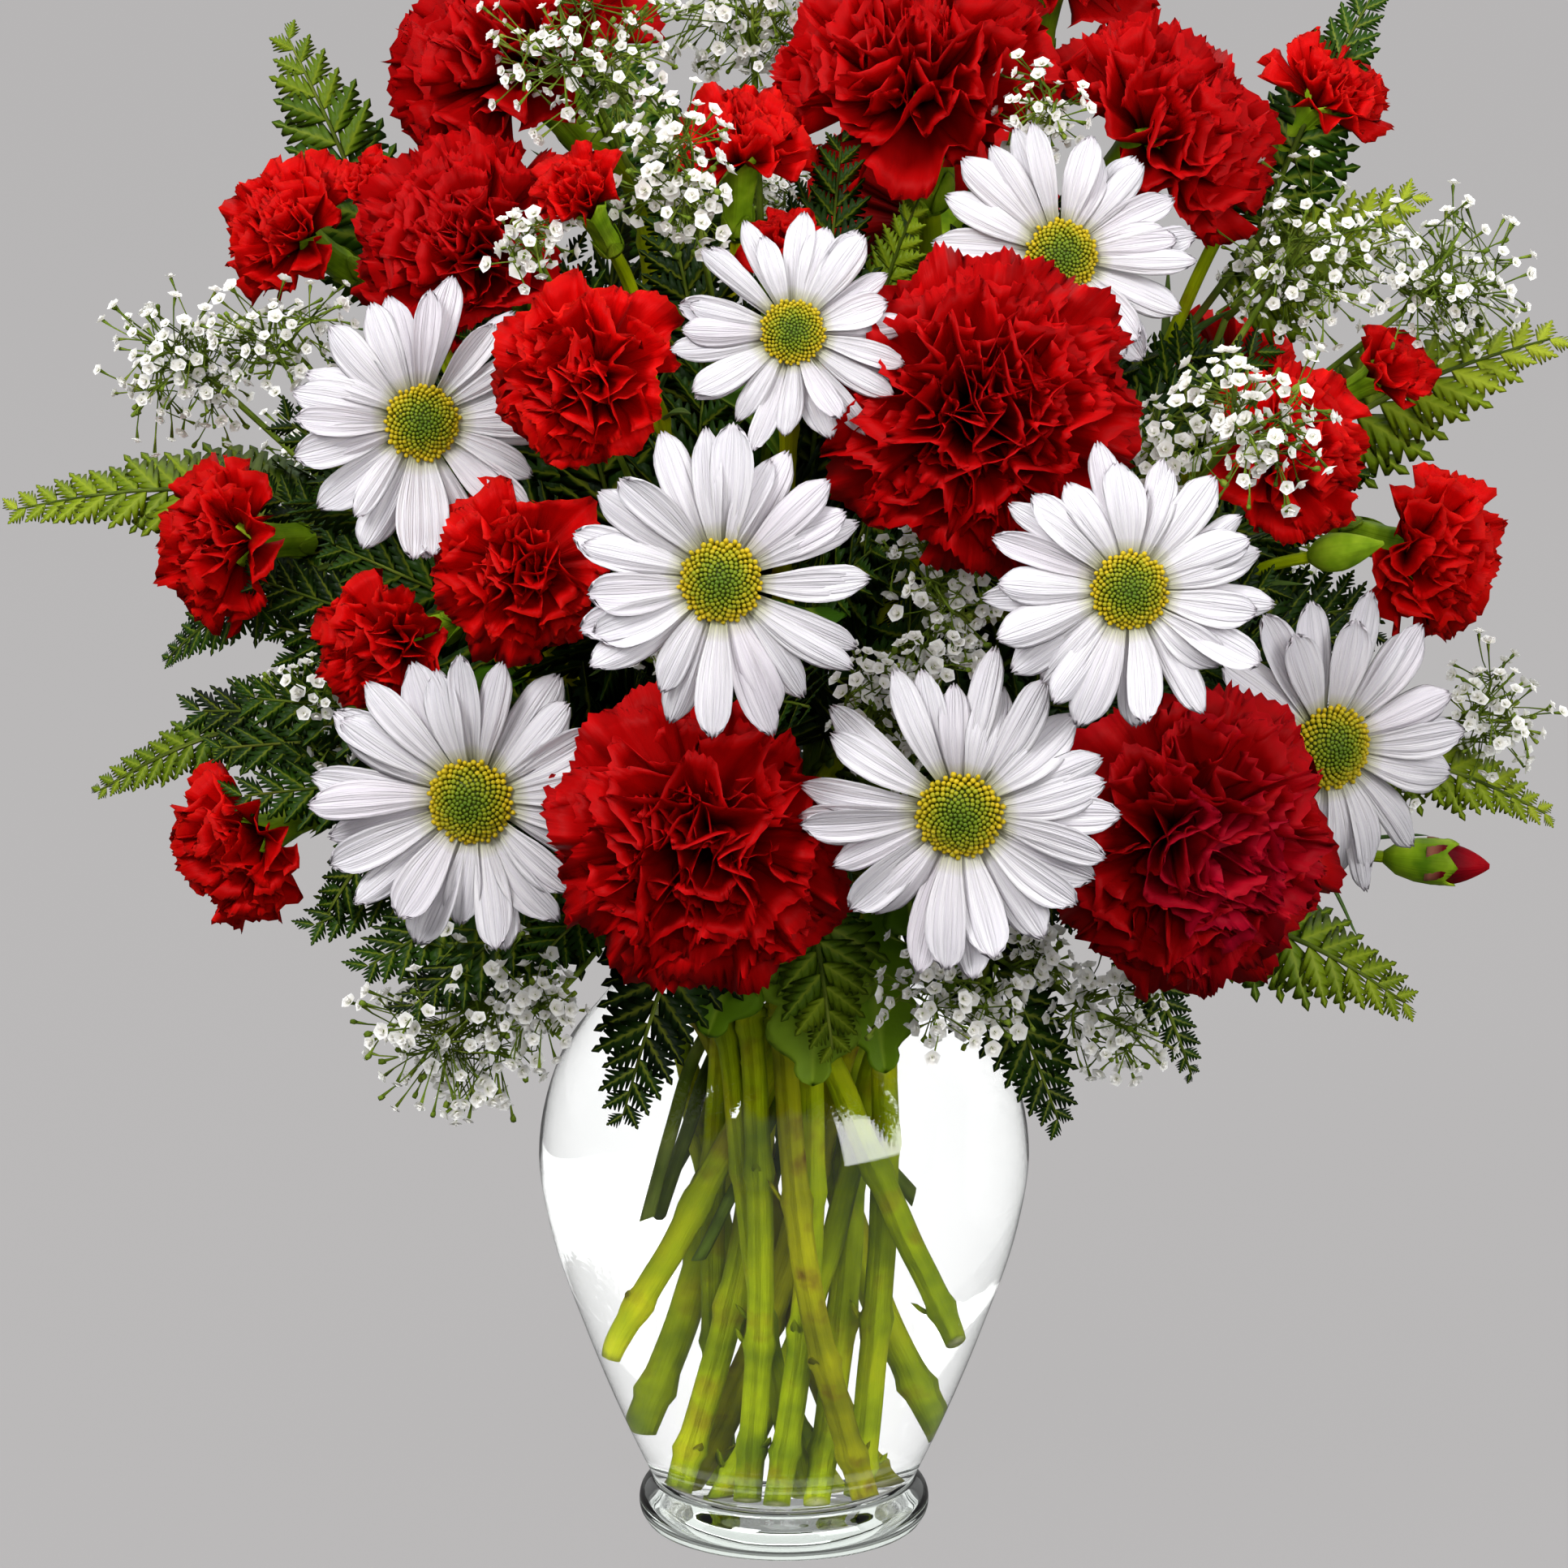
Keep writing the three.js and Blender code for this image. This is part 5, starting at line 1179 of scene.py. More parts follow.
def carnationPetals(radius, size, generator):
    # Petals by the golden turn, from the lowest to the upright ones in the heart. The midline of a
    # petal starts up the axis and turns over to the petal's lift; the width opens as a fan; waves
    # across the fan grow with a power of the way along; every second point of the edge is a tooth.
    look, shape = carnationLook, carnationLook[size]
    count, rows, columns = shape["petals"], shape["rows"], shape["columns"]
    k = np.arange(count)
    s = (k + 0.5) / count

    def each(low, high):
        return generator.uniform(low, high, count)[:, None, None]
    turn = (look["goldenTurn"] * k)[:, None, None] + each(-0.45, 0.45)
    lowest = shape["lowest"]
    lift = np.radians(lowest + (90 - lowest) * s**0.85)[:, None, None] + each(-0.22, 0.18)
    inward = s[:, None, None]
    length = radius * (look["length"] - 0.2 * inward + each(-0.12, 0.04))
    v = np.linspace(0, 1, rows)[None, :, None]
    u = np.linspace(-1, 1, columns)[None, None, :]
    curl = each(-0.9, 0.8) * (1 - 0.4 * inward)
    start, over = look["turnsOver"]
    angle = (np.pi / 2 + (lift - np.pi / 2) * eased((v - start) / over)
             + curl * np.clip(v - 0.55, 0, 1) ** 1.5)
    step = 1 / (rows - 1)
    run, rise = np.cos(angle), np.sin(angle)

    def summed(slope):
        rises = np.cumsum((slope[:, 1:] + slope[:, :-1]) / 2 * step, axis=1)
        return np.concatenate([np.zeros((count, 1, 1)), rises], axis=1)
    out = radius * (0.03 + 0.1 * inward * each(0.2, 1)) + length * summed(run)
    up = -look["sunk"] * radius + length * summed(rise)
    outward = np.concatenate([np.cos(turn), np.sin(turn), 0 * turn], axis=-1)[:, :, None]
    sideways = np.concatenate([np.sin(turn), -np.cos(turn), 0 * turn], axis=-1)[:, :, None]
    axis = np.array([0.0, 0.0, 1.0])
    tangent = run[..., None] * outward + rise[..., None] * axis
    normal = -rise[..., None] * outward + run[..., None] * axis
    twist = (each(-0.5, 0.5) * (0.5 + inward) * np.clip(v - 0.2, 0, 1))[..., None]
    side = np.cos(twist) * sideways + np.sin(twist) * normal
    upward = np.cos(twist) * normal - np.sin(twist) * sideways
    fan = eased((v - 0.2) / 0.85)
    width = radius * (0.045 + look["width"] * (1 - 0.42 * inward) * each(0.82, 1.12) * fan)
    blade = np.clip((v - 0.3) / 0.7, 0, 1)
    waves = each(1.2, 2.7)
    ruffle = look["ruffle"] * radius * (1 + 0.3 * inward) * blade**1.6 * (
        np.sin(np.pi * waves * u + each(0, 6.3)) + 0.34 * np.sin(np.pi * 2.2 * waves * u + each(0, 6.3)))
    fold = each(-0.15, 0.5) * width * np.abs(u) ** 1.4 * blade
    toothed = np.where(np.arange(columns) % 2, 1.0, 0.0)[None, None, :]
    toothed = toothed * generator.uniform(0.1, 1.3, (count, 1, columns))
    edge = (-0.15 * length * u**2 * (0.6 + 0.8 * blade) + look["teeth"] * radius * toothed
            + 0.06 * radius * np.sin(np.pi * waves * 0.8 * u + each(0, 6.3))) * blade**3
    sheet = (out[..., None] * outward + up[..., None] * axis + (u * width)[..., None] * side
             + (ruffle + fold)[..., None] * upward + edge[..., None] * tangent)
    return thinShells(sheet, 0.32, np.clip(s + generator.uniform(-0.12, 0.12, count), 0, 1))


def petalPiece(name, size, skin, number, nodes):
    head = headNamed[name]
    shell = carnationPetals(head["radius"], size, np.random.default_rng(500 + number))
    matrix = axesAlong(head["direction"], number * 1.3)
    putPiece("petals_of_" + name, [moved(shell, matrix, head["mouth"])], [skin], nodes)


for number, name in enumerate(largeCarnations):
    petalPiece(name, "large", "crimson" if name == "carnation_3" else "deepRed", number, [name])
# Blooms less than 16 mm in radius are half open and have the petals of a bud.
for number, name in enumerate(smallCarnations):
    petalPiece(name, "bud" if headNamed[name]["radius"] < 16 else "small", "scarlet", 20 + number, [name])
for number, name in enumerate(fusedBlooms):
    petalPiece(name, "bud" if headNamed[name]["radius"] < 16 else "small", "scarlet", 40 + number, [])
print("carnations made")


# Daisies.
daisyLook = {
    "rays": 26, "columns": 13, "rows": 12,
    "reach": 1.12,      # the longest rays, in flower radii
    "disc": 0.245,      # radius of the disc
    "dome": 0.12,       # its height
    "florets": 250,
    "width": 0.137,     # half width of a ray
    "groove": 0.009,
}


def daisyRays(radius, generator):
    # Two whorls of rays. The midline rises from the disc and arches over; the half width swells to
    # three fifths of the way and closes to a blunt point; three grooves run along each.
    look = daisyLook
    count, rows, columns = look["rays"], look["rows"], look["columns"]

    def each(low, high):
        return generator.uniform(low, high, count)[:, None, None]
    k = np.arange(count)
    upper = (k % 2)[:, None, None]
    turn = (2 * np.pi * k / count)[:, None, None] + each(-0.13, 0.13)
    wind = generator.uniform(0.02, 0.11) * np.cos(turn - generator.uniform(0, 6.3))  # one side blown back
    v = 1 - (1 - np.linspace(0, 1, rows)[None, :, None]) ** 1.3  # closer rows at the tip
    u = np.linspace(-1, 1, columns)[None, None, :]
    length = radius * look["reach"] * np.where(upper, each(0.76, 0.95), each(0.86, 1.0))
    out = 0.17 * radius + (length - 0.17 * radius) * v
    up = (1.4 + 0.9 * upper + np.tan(each(0.03, 0.14) + 0.07 * upper) * (out - 0.17 * radius)
          + 0.05 * radius * np.sin(np.pi * v) - (each(-0.06, 0.22) + wind) * radius * v**2.5)
    bend = each(-0.11, 0.11) * radius * v**2
    half = look["width"] * radius * each(0.72, 1.14) * (0.36 + 0.64 * eased(v / 0.62)) * np.sqrt(
        1 - np.clip((v - 0.7) / 0.31, 0, 1) ** 2.3)
    notch = (-0.03 * u**2 + 0.012 * np.cos(3 * np.pi * u)) * radius * np.clip((v - 0.7) / 0.3, 0, 1)
    ends = np.clip(v * 4, 0, 1) * np.clip((1.02 - v) * 4, 0, 1)
    grooves = -look["groove"] * radius * np.cos(3 * np.pi * u) * ends
    cup = each(-0.6, 0.5) * half * u**2
    roll = each(-0.3, 0.3) * u * half
    up = up + grooves + cup + roll
    radial = out + notch
    across = -u * half + bend
    x = radial * np.cos(turn) - across * np.sin(turn)
    y = radial * np.sin(turn) + across * np.cos(turn)
    x, y, up = np.broadcast_arrays(x, y, up)
    tone = np.where(generator.uniform(0, 1, count) < 0.25, 0.6, 0.0) * generator.uniform(0, 1, count)
    return thinShells(np.stack([x, y, up], axis=-1), 0.35, tone)


def discShells(radius, generator):
    # The disc: a dome, and florets on it by the golden turn. Those near the edge are open, taller
    # and yellow; those in the middle are low green buds.
    look = daisyLook
    r, count = look["disc"] * radius, look["florets"]
    rise = look["dome"] * radius
    share = np.linspace(1, 0.02, 9)
    dome = np.stack([r * share, 3.0 + rise * (1 - share**2.4)], axis=1)
    base = turnedShell(np.concatenate([[(0.5, 1.0), (r * 0.9, 1.4)], dome]), 28)
    # The dome takes the darkest olive of the florets' feet: painted shade between them.
    base["uv"][:, 1] = 0.0
    k = np.arange(count)
    far = np.sqrt((k + 0.5) / count)
    turn = carnationLook["goldenTurn"] * k
    place = np.stack([r * far * np.cos(turn), r * far * np.sin(turn), 2.9 + rise * (1 - far**2.4)], axis=1)
    slope = 2.4 * rise / r * far**1.4
    lean = np.stack([slope * np.cos(turn), slope * np.sin(turn), np.ones(count)], axis=1)
    lean += generator.normal(0, 0.06, (count, 3))
    size = r * (0.06 + 0.022 * far**2) * generator.uniform(0.85, 1.15, count)
    height = r * (0.07 + 0.12 * far**3) * generator.uniform(0.8, 1.2, count)
    floret = turnedShell([(0.7, -0.4), (0.85, 0.4), (1.0, 0.8), (0.55, 1.0)], 6)
    matrices = axesAlong(lean, turn) * np.stack([size, size, height * 1.4], axis=1)[:, None, :]
    tone = np.clip(far * 1.05 - 0.12 + generator.uniform(-0.1, 0.1, count), 0, 1)
    return [base, copied(floret, matrices, place, tone)]


for number, name in enumerate(daisies):
    generator = np.random.default_rng(800 + number)
    head = headNamed[name]
    matrix = axesAlong(head["direction"], generator.uniform(0, 1))
    shells = [moved(daisyRays(head["radius"], generator), matrix, head["mouth"])]
    shells += [moved({**s, "look": 1}, matrix, head["mouth"]) for s in discShells(head["radius"], generator)]
    putPiece("head_of_" + name, shells, ["ray", "disc"], [name])
print("daisies made")


# Fern.
fernLook = {
    "lobes": 5,          # teeth on each side of a pinna
    "forward": 0.75,     # how far a pinna leans to the tip
    # The fronds of the stems: the least mm between pinnae, more on wide blades, and a pinna's half
    # width as a share of its length.
    "own": {"spacing": (4.4, 0.27), "pinna": 0.3, "up": (0, -0.75, 0.66)},
    # Fill fronds: half width, how young (kept near 0, a near-black green that is painted shade between the
    # blooms), and the ellipsoid that their tips lie on, by its middle and its half axes.
    "fill": {
        "width": 37, "young": 0.07, "spacing": 6.6, "pinna": 0.215, "arch": 0.13, "start": 0.24,
        "middle": (6.0, -18.0, 252.0), "half": (142.0, 122.0, 118.0),
        # Each ring: height in degrees, number of fronds, turn of the first, depth as a share.
        "rings": [(-22, 13, 0, 0.86), (-5, 14, 15, 0.95), (14, 14, 0, 1.0), (36, 12, 20, 1.0),
                  (60, 8, 0, 1.0), (-10, 9, 30, 0.66), (22, 9, 10, 0.68), (56, 5, 40, 0.74)],
    },
    # More of them close behind the outer blooms, by their tips.
    "behind": {
        "width": 27, "spacing": 5.2, "pinna": 0.25, "arch": 0.08, "start": 0.36,
        "tips": [
            (150, -34, 252), (144, -20, 284), (132, -56, 232), (120, -64, 262), (118, -44, 318),
            (96, -70, 300), (-134, -30, 282), (-128, -44, 248), (-122, -50, 216), (-112, -60, 272),
            (-104, -64, 238), (-92, -70, 300), (-72, -60, 330), (56, -56, 366), (14, -60, 372),
            (-30, -64, 366), (78, -84, 182), (-66, -88, 186), (-148, -42, 226), (-136, -60, 208),
            (146, -62, 250), (128, -72, 246), (-60, -80, 172), (-92, -84, 190), (-142, -50, 218),
            (-132, -64, 234), (-118, -66, 176), (-104, -76, 168), (-92, -84, 160), (-132, -52, 262),
            (-124, -40, 300), (104, -76, 244)],
    },
}


def frondShells(base, tip, width, young, up, generator, spacing, pinna, arch=0.1):
    # The rib is a straight line arched by a half sine. Pinnae leave it in pairs, leaning to the tip.
    # A pinna is pointed: its width falls in a straight line from a quarter of its way to its tip,
    # times a rectified sine that cuts its edge into teeth, which are swept forward.
    look = fernLook
    direction = tip - base
    length = np.linalg.norm(direction)
    across = unit(np.cross(direction, up))
    normal = unit(np.cross(across, direction))
    forward = direction / length

    def rib(s):
        return base + s[:, None] * direction + normal * (arch * length * np.sin(np.pi * s))[:, None]
    count = max(5, int(length / spacing))
    j, side = np.repeat(np.arange(count), 2), np.tile([-1.0, 1.0], count)
    s = 0.02 + 0.97 * (j + 0.5 + 0.22 * side) / count
    reach = width * (1 - 0.86 * s) * generator.uniform(0.88, 1.1, len(s)) * np.minimum(1, 0.62 + 3 * s)
    root = rib(s)
    to = (across * (side * reach)[:, None] + forward * (look["forward"] * (0.75 + 0.85 * s) * reach)[:, None]
          - normal * ((0.12 + generator.uniform(-0.1, 0.12, len(s))) * reach)[:, None])
    long = np.linalg.norm(to, axis=1)[:, None, None, None]
    q = unit(to)[:, None, None]
    c = unit(np.cross(q, normal))
    rise = np.cross(c, q)
    rows = 3 * look["lobes"] + 1
    t = np.linspace(0, 1, rows)[None, :, None, None]
    u = np.array([-1.0, 0.0, 1.0])[None, None, :, None]
    lobes = 0.34 + 0.66 * np.abs(np.sin(np.pi * look["lobes"] * t)) ** 0.9
    lance = (1 - t) * np.minimum(1, 0.5 + 2 * t)
    half = (1.5 * pinna * long + 0.1 * spacing) * lance * lobes + 0.1
    droop = generator.uniform(-0.05, 0.16, len(s))[:, None, None, None]
    sheet = (root[:, None, None] + t * long * q + u * half * c + np.abs(u) * (1.2 - 0.7 * t) * half * q
             - 0.25 * half * u**2 * rise - droop * long * t**2 * rise)
    tone = np.clip(young * (0.7 + 0.6 * s) + generator.uniform(-0.08, 0.08, len(s)), 0, 1)
    ends = np.linspace(0, 0.97, 9)
    radii = np.interp(ends, [0, 1], [0.95, 0.3])
    return [thinShells(sheet, 0.3, tone),
            tubes(rib(ends)[None], radii[None], 6, look=1, lengths=ends * length)]


def clearOfHeads(start, end):
    # How much of the way from start to end stays out of the blooms, each taken as a ball about the
    # middle of its petals. A way that is blocked before its ninth step of 20 is left whole.
    way = np.linspace(0, 1, 21)
    points = start + way[:, None] * (end - start)
    free = np.ones(len(way), bool)
    for head in heads:
        middle = head["mouth"] + 0.1 * head["radius"] * head["direction"]
        free &= np.linalg.norm(points - middle, axis=1) > 0.8 * head["radius"]
    blocked = np.flatnonzero(~free)
    return way[blocked[0] - 1] if len(blocked) and blocked[0] > 8 else 1.0


for number, (family, own) in enumerate(grouped(blades).items()):
    generator = np.random.default_rng(300 + number)
    shells = plainStems(family, 8)
    look = fernLook["own"]
    least, share = look["spacing"]
    for blade in own:
        shells += frondShells(blade["base"], blade["tip"], blade["width"], blade["young"],
                              np.array(look["up"]), generator, max(least, share * blade["width"]),
                              look["pinna"])
    putPiece("fronds_of_" + family, shells, ["fern", "fernStalk"], [family])


def fillFronds():
    # Fronds that fill the bouquet behind the blooms: tips on an ellipsoid a little smaller than the
    # bouquet, on rings of rising height, each with its stalk from the neck of the vase.
    generator = np.random.default_rng(77)
    look = fernLook["fill"]
    shape = look["spacing"], look["pinna"], look["arch"]
    middle, half = np.array(look["middle"]), np.array(look["half"])
    shells = []
    for rise, count, start, depth in look["rings"]:
        for k in range(count):
            turn = math.radians(start + 360 * k / count + generator.uniform(-9, 9))
            lift = math.radians(rise + generator.uniform(-6, 6))
            away = np.array([math.cos(turn), math.sin(turn), 0])
            out = np.array([math.cos(lift) * math.cos(turn), math.cos(lift) * math.sin(turn), math.sin(lift)])
            tip = middle + out * half * depth * generator.uniform(0.9, 1.02)
            rim = overRim(away)
            base = rim + (tip - rim) * look["start"] + np.array([0, 0, 12.0])
            tip = base + (tip - base) * clearOfHeads(base, tip)
            shells.append(fillStalk(away, base, 1.0))
            up = unit(0.75 * out + np.array([0, 0, 0.3]) + generator.normal(0, 0.12, 3))
            shells += frondShells(base, tip, look["width"] * generator.uniform(0.85, 1.1),
                                  look["young"] * generator.uniform(0.2, 2.4), up, generator, *shape)
    look = {**look, **fernLook["behind"]}
    shape = look["spacing"], look["pinna"], look["arch"]
    for tip in look["tips"]:
        tip = np.array(tip, float)
        away = unit(tip * (1, 1, 0))
        base = np.array([0, 0, 200.0]) + (tip - (0, 0, 200)) * look["start"]
        shells.append(fillStalk(away, base, 1.1))
        up = unit(np.array([0.3 * away[0], -0.8, 0.5]) + generator.normal(0, 0.1, 3))
        shells += frondShells(base, tip, look["width"] * generator.uniform(0.9, 1.1),
                              look["young"] * generator.uniform(0.5, 3), up, generator, *shape)
    return shells


fill = fillFronds()
third = len(fill) // 9 * 3  # a frond is three shells, and none is split between pieces
for name, own in (("lower_fern_fronds", fill[:third]), ("middle_fern_fronds", fill[third:2 * third]),
                  ("upper_fern_fronds", fill[2 * third:])):
    putPiece(name, own, ["fern", "fernStalk"])
print("ferns made")


# Leaves of the daisies, which are lobed.
leafLook = {
    "lobes": 3.5, "rows": 29, "columns": 9,
    "every": 26.0,      # mm between leaves along a daisy's stem
    "long": (30, 46), "wide": 0.3,
    "hanging": [  # over the front of the rim: root, base, tip, half width, how young
        ((0, -26, 190), (-4, -52, 182), (-19, -71, 150), 14, 0.6),
        ((4, -24, 192), (8, -54, 180), (7, -74, 138), 15, 0.85),
        ((8, -24, 190), (18, -52, 182), (25, -73, 141), 13, 0.75),
        ((10, -20, 194), (30, -50, 190), (44, -76, 162), 13, 0.5),
        ((-6, -22, 194), (-20, -50, 190), (-34, -76, 170), 13, 0.4)],
}


def lobedLeaf(root, base, tip, width, tone, up, generator):
    # A blade whose half width is a power of a half sine, cut by a rectified sine into blunt lobes;
    # it folds a little along its midrib and waves along its edge. A stalk joins it to its stem.
    direction = tip - base
    length = np.linalg.norm(direction)
    across = unit(np.cross(direction, up))
    normal = unit(np.cross(across, direction))
    t = np.linspace(0, 1, leafLook["rows"])[None, :, None, None]
    u = np.linspace(-1, 1, leafLook["columns"])[None, None, :, None]
    lobes = 0.55 + 0.45 * np.abs(np.sin(np.pi * leafLook["lobes"] * (0.06 + 0.94 * t))) ** 0.75
    half = width * np.sin(np.pi * np.clip(t, 0, 1) ** 0.72) ** 0.7 * lobes + 0.25
    wave = 0.07 * width * np.sin(9 * t + generator.uniform(0, 6)) * np.abs(u) ** 2
    sheet = (base + t * direction + u * half * across + 0.35 * half * np.abs(u) * direction / length
             + (0.12 * length * np.sin(np.pi * t) + 0.28 * half * np.abs(u) + wave) * normal)
    stalk, along = curveThrough([root, (root + base) / 2 + 0.1 * length * normal, base,
                                 base + 0.25 * direction + 0.07 * length * normal])
    return [thinShells(sheet, 0.4, np.array([tone])),
            tubes(stalk[None], np.linspace(1.1, 0.6, len(stalk))[None], 8, look=1, lengths=along)]


def daisyLeaves():
    generator = np.random.default_rng(61)
    look, shells = leafLook, []
    for root, base, tip, width, tone in look["hanging"]:
        shells += lobedLeaf(*(np.array(p, float) for p in (root, base, tip)), width, tone,
                            np.array([0, -0.8, 0.6]), generator)
    # Along the daisies' stems and branches, from above the rim, and none inside a bloom.
    for chain in (c for c in chains if c["family"].startswith("daisy")):
        path, along = chain["path"], chain["along"]
        start = chordOf(chain["points"])[3] + 12 if not chain["onto"] else 12
        for place in np.arange(start, along[-1] - 10, look["every"]):
            root = pointsAlong(path, along, place)
            heading = unit(pointsAlong(path, along, place + 4) - root)
            outward = unit(root - (5, -10, 215))
            lean = unit(outward + 0.5 * heading + generator.normal(0, 0.45, 3))
            base = root + 9 * lean
            size = generator.uniform(*look["long"])
            tip = base + size * unit(lean + 0.4 * generator.normal(0, 1, 3))
            tip[1] = max(tip[1], -150)
            near = [np.linalg.norm(p - h["mouth"]) < h["radius"] + 6 for h in heads
                    for p in (base, (base + tip) / 2, tip)]
            if any(near):
                continue
            shells += lobedLeaf(root, base, tip, look["wide"] * size, generator.uniform(0.05, 0.45),
                                outward + 0.3, generator)
    return shells


putPiece("leaves_of_daisies", daisyLeaves(), ["daisyLeaf", "daisyStem"])
print("leaves made")


# Gypsophila.
gypsophilaLook = {
    "florets": 230,      # in a spray of 20 mm radius
    "size": 2.45, "twig": 0.19, "spread": 1.32, "buds": 0.18,
    "among": [  # middle and radius of the small sprays in the gaps
        ((20, -130, 241), 14), ((92, -118, 306), 9), ((-58, -112, 351), 9), ((-34, -122, 262), 8),
        ((34, -128, 256), 11), ((-62, -88, 160), 11), ((58, -96, 172), 10), ((148, -56, 214), 10)],
}


def floretShell():
    # One floret of radius 1: five spread petals and three upright ones, each a diamond of four
    # triangles round a middle point, closed below by two, so 48 faces make a double floret.
    outer, inner = 5, 3
    turn = np.concatenate([2 * np.pi * np.arange(outer) / outer, 2 * np.pi * np.arange(inner) / inner + 0.4])
    lift = np.radians(np.concatenate([np.full(outer, 22), np.full(inner, 64)]))
    long = np.concatenate([np.full(outer, 1.0), np.full(inner, 0.8)])
    wide = np.concatenate([np.full(outer, 0.52), np.full(inner, 0.4)])
    out = np.stack([np.cos(lift) * np.cos(turn), np.cos(lift) * np.sin(turn), np.sin(lift)], axis=1)
    side = np.stack([-np.sin(turn), np.cos(turn), 0 * turn], axis=1)
    up = np.cross(out, side)
    corners = [0.06 * out, 0.68 * long[:, None] * out - wide[:, None] * side + 0.12 * up,
               long[:, None] * out + 0.05 * up, 0.68 * long[:, None] * out + wide[:, None] * side + 0.12 * up,
               0.55 * long[:, None] * out + 0.02 * up]
    points = np.stack(corners, axis=1).reshape(-1, 3)
    faces = np.array([(0, 1, 4), (1, 2, 4), (2, 3, 4), (3, 0, 4), (0, 2, 1), (0, 3, 2)])
    tris = (faces[None] + (5 * np.arange(outer + inner))[:, None, None]).reshape(-1, 3)
    uv = np.tile([(0.5, 0.0), (0.0, 0.7), (0.5, 1.0), (1.0, 0.7), (0.5, 0.5)], (outer + inner, 1))
    return {"points": points, "tris": tris, "uv": uv, "tone": np.zeros(len(points)), "look": 0}


def cloudShells(sprig, generator):
    # A spray that forks twice: side branches to the middles of its tufts, and a thread-like stalk
    # to each floret from the branch of its tuft.
    look = gypsophilaLook
    r = sprig["radius"] * look["spread"]
    start, centre = sprig["base"], sprig["at"]
    count = int(look["florets"] * (sprig["radius"] / 20) ** 2) + 8
    tufts = max(5, count // 9)
    ways = r * 0.72 * unit(generator.normal(size=(tufts, 3)))
    middles = centre + ways * generator.uniform(0.2, 1, (tufts, 1)) ** 0.5
    back = sprig["direction"]
    leave = generator.uniform(0.0, 0.75, tufts)[:, None]
    roots = start + leave * (centre - start)
    t = np.linspace(0, 1, 6)[None, :, None]
    bend = generator.normal(0, 0.1, (tufts, 1, 3)) * r

    def arcs(a, b, bow):
        return a[:, None] + t * (b - a)[:, None] + 4 * t * (1 - t) * bow
    branches = arcs(roots, middles, bend + 0.12 * r * back)
    main = arcs(start[None], centre[None], np.zeros((1, 1, 3)))
    shells = [tubes(main, np.linspace(0.75, 0.4, 6)[None], 5, look=1),
              tubes(branches, np.tile(np.linspace(0.42, 0.3, 6), (tufts, 1)), 4, look=1)]
    tuft = generator.integers(0, tufts, count)
    places = middles[tuft] + 0.3 * r * generator.normal(size=(count, 3)).clip(-1.6, 1.6)
    far = np.linalg.norm(places - centre, axis=1, keepdims=True)
    places = centre + (places - centre) * np.minimum(1, 1.1 * r / far)
    rank = generator.uniform(0.45, 1.0, count)
    i = np.minimum((rank * 5).astype(int), 4)
    part = (rank * 5 - i)[:, None]
    hold = branches[tuft, i] * (1 - part) + branches[tuft, i + 1] * part
    threads = arcs(hold, places, generator.normal(0, 0.5, (count, 1, 3)))
    aim = unit(threads[:, -1] - threads[:, -2])
    bud = generator.uniform(0, 1, count) < look["buds"]
    thin = np.array([1, 1, 1.3, 3.0]) * look["twig"]
    shells.append(tubes(threads[:, [0, 2, 4, 5]], np.tile(thin, (count, 1)), 3, look=1))
    lean = unit(aim + 0.5 * unit(places - centre) + (0, -0.35, 0.45) + generator.normal(0, 0.3, (count, 3)))
    near = 1.0 if centre[1] < -90 or centre[2] < 170 else generator.uniform(0.78, 0.95)
    size = look["size"] * near * generator.uniform(0.7, 1.12, count)
    opened = ~bud
    frames = axesAlong(lean, generator.uniform(0, 6.28, count)) * size[:, None, None]
    florets = copied(floretShell(), frames[opened], places[opened], np.zeros(opened.sum()))
    shells.append({**florets, "flat": True})
    closed = turnedShell([(0.25, -0.6), (0.42, -0.1), (0.36, 0.4)], 5, look=1)
    shells.append(copied(closed, frames[bud] * 0.8, places[bud], np.zeros(bud.sum())))
    return shells


for number, (family, own) in enumerate(grouped(sprigs).items()):
    generator = np.random.default_rng(900 + number)
    shells = plainStems(family, 7)
    for sprig in own:
        shells += cloudShells(sprig, generator)
    putPiece("sprays_of_" + family, shells, ["gypsophila", "gypsophilaStalk"], [family])


def smallSprays():
    # Small sprays in the gaps among the blooms, each on a stalk from the neck of the vase.
    generator = np.random.default_rng(990)
    shells = []
    for at, radius in gypsophilaLook["among"]:
        at = np.array(at, float)
        direction = unit(at - (0, 0, 190))
        base = at - 1.3 * radius * direction
        shells.append(fillStalk(unit(at * (1, 1, 0)), base, 0.8))
        shells += cloudShells({"at": at, "radius": radius, "direction": direction, "base": base}, generator)
    return shells


putPiece("sprays_among_blooms", smallSprays(), ["gypsophila", "gypsophilaStalk"])
print("gypsophila made")


# The vase and its water.
vaseLook = {
    "sides": 128,
    "rim": (1.5, 0.6),   # half width and height of the rounding
    # Radius and height: under the foot, on the dished floor, and the water's underside there.
    "under": [(10, 0.6), (26, 0.5), (34.5, 0.0)],
    "floor": [(16, 8.2), (8, 7.9), (2, 7.8)],
    "waterFloor": [(2, 7.7), (10, 7.8), (18, 8.4)],
    # Water at the glass: how far into the wall, how high it climbs, and two points on the way down.
    "inWall": 0.25, "climb": 0.6, "slope": [(0.8, 0.35), (2.2, 0)],
}


def profileThrough(points, perPiece):
    curve, along = curveThrough(points, spacing=1.0)
    fine = np.linspace(0, along[-1], perPiece * (len(points) - 1) + 1)
    return np.stack([np.interp(fine, along, curve[:, k]) for k in (0, 1)], axis=1)


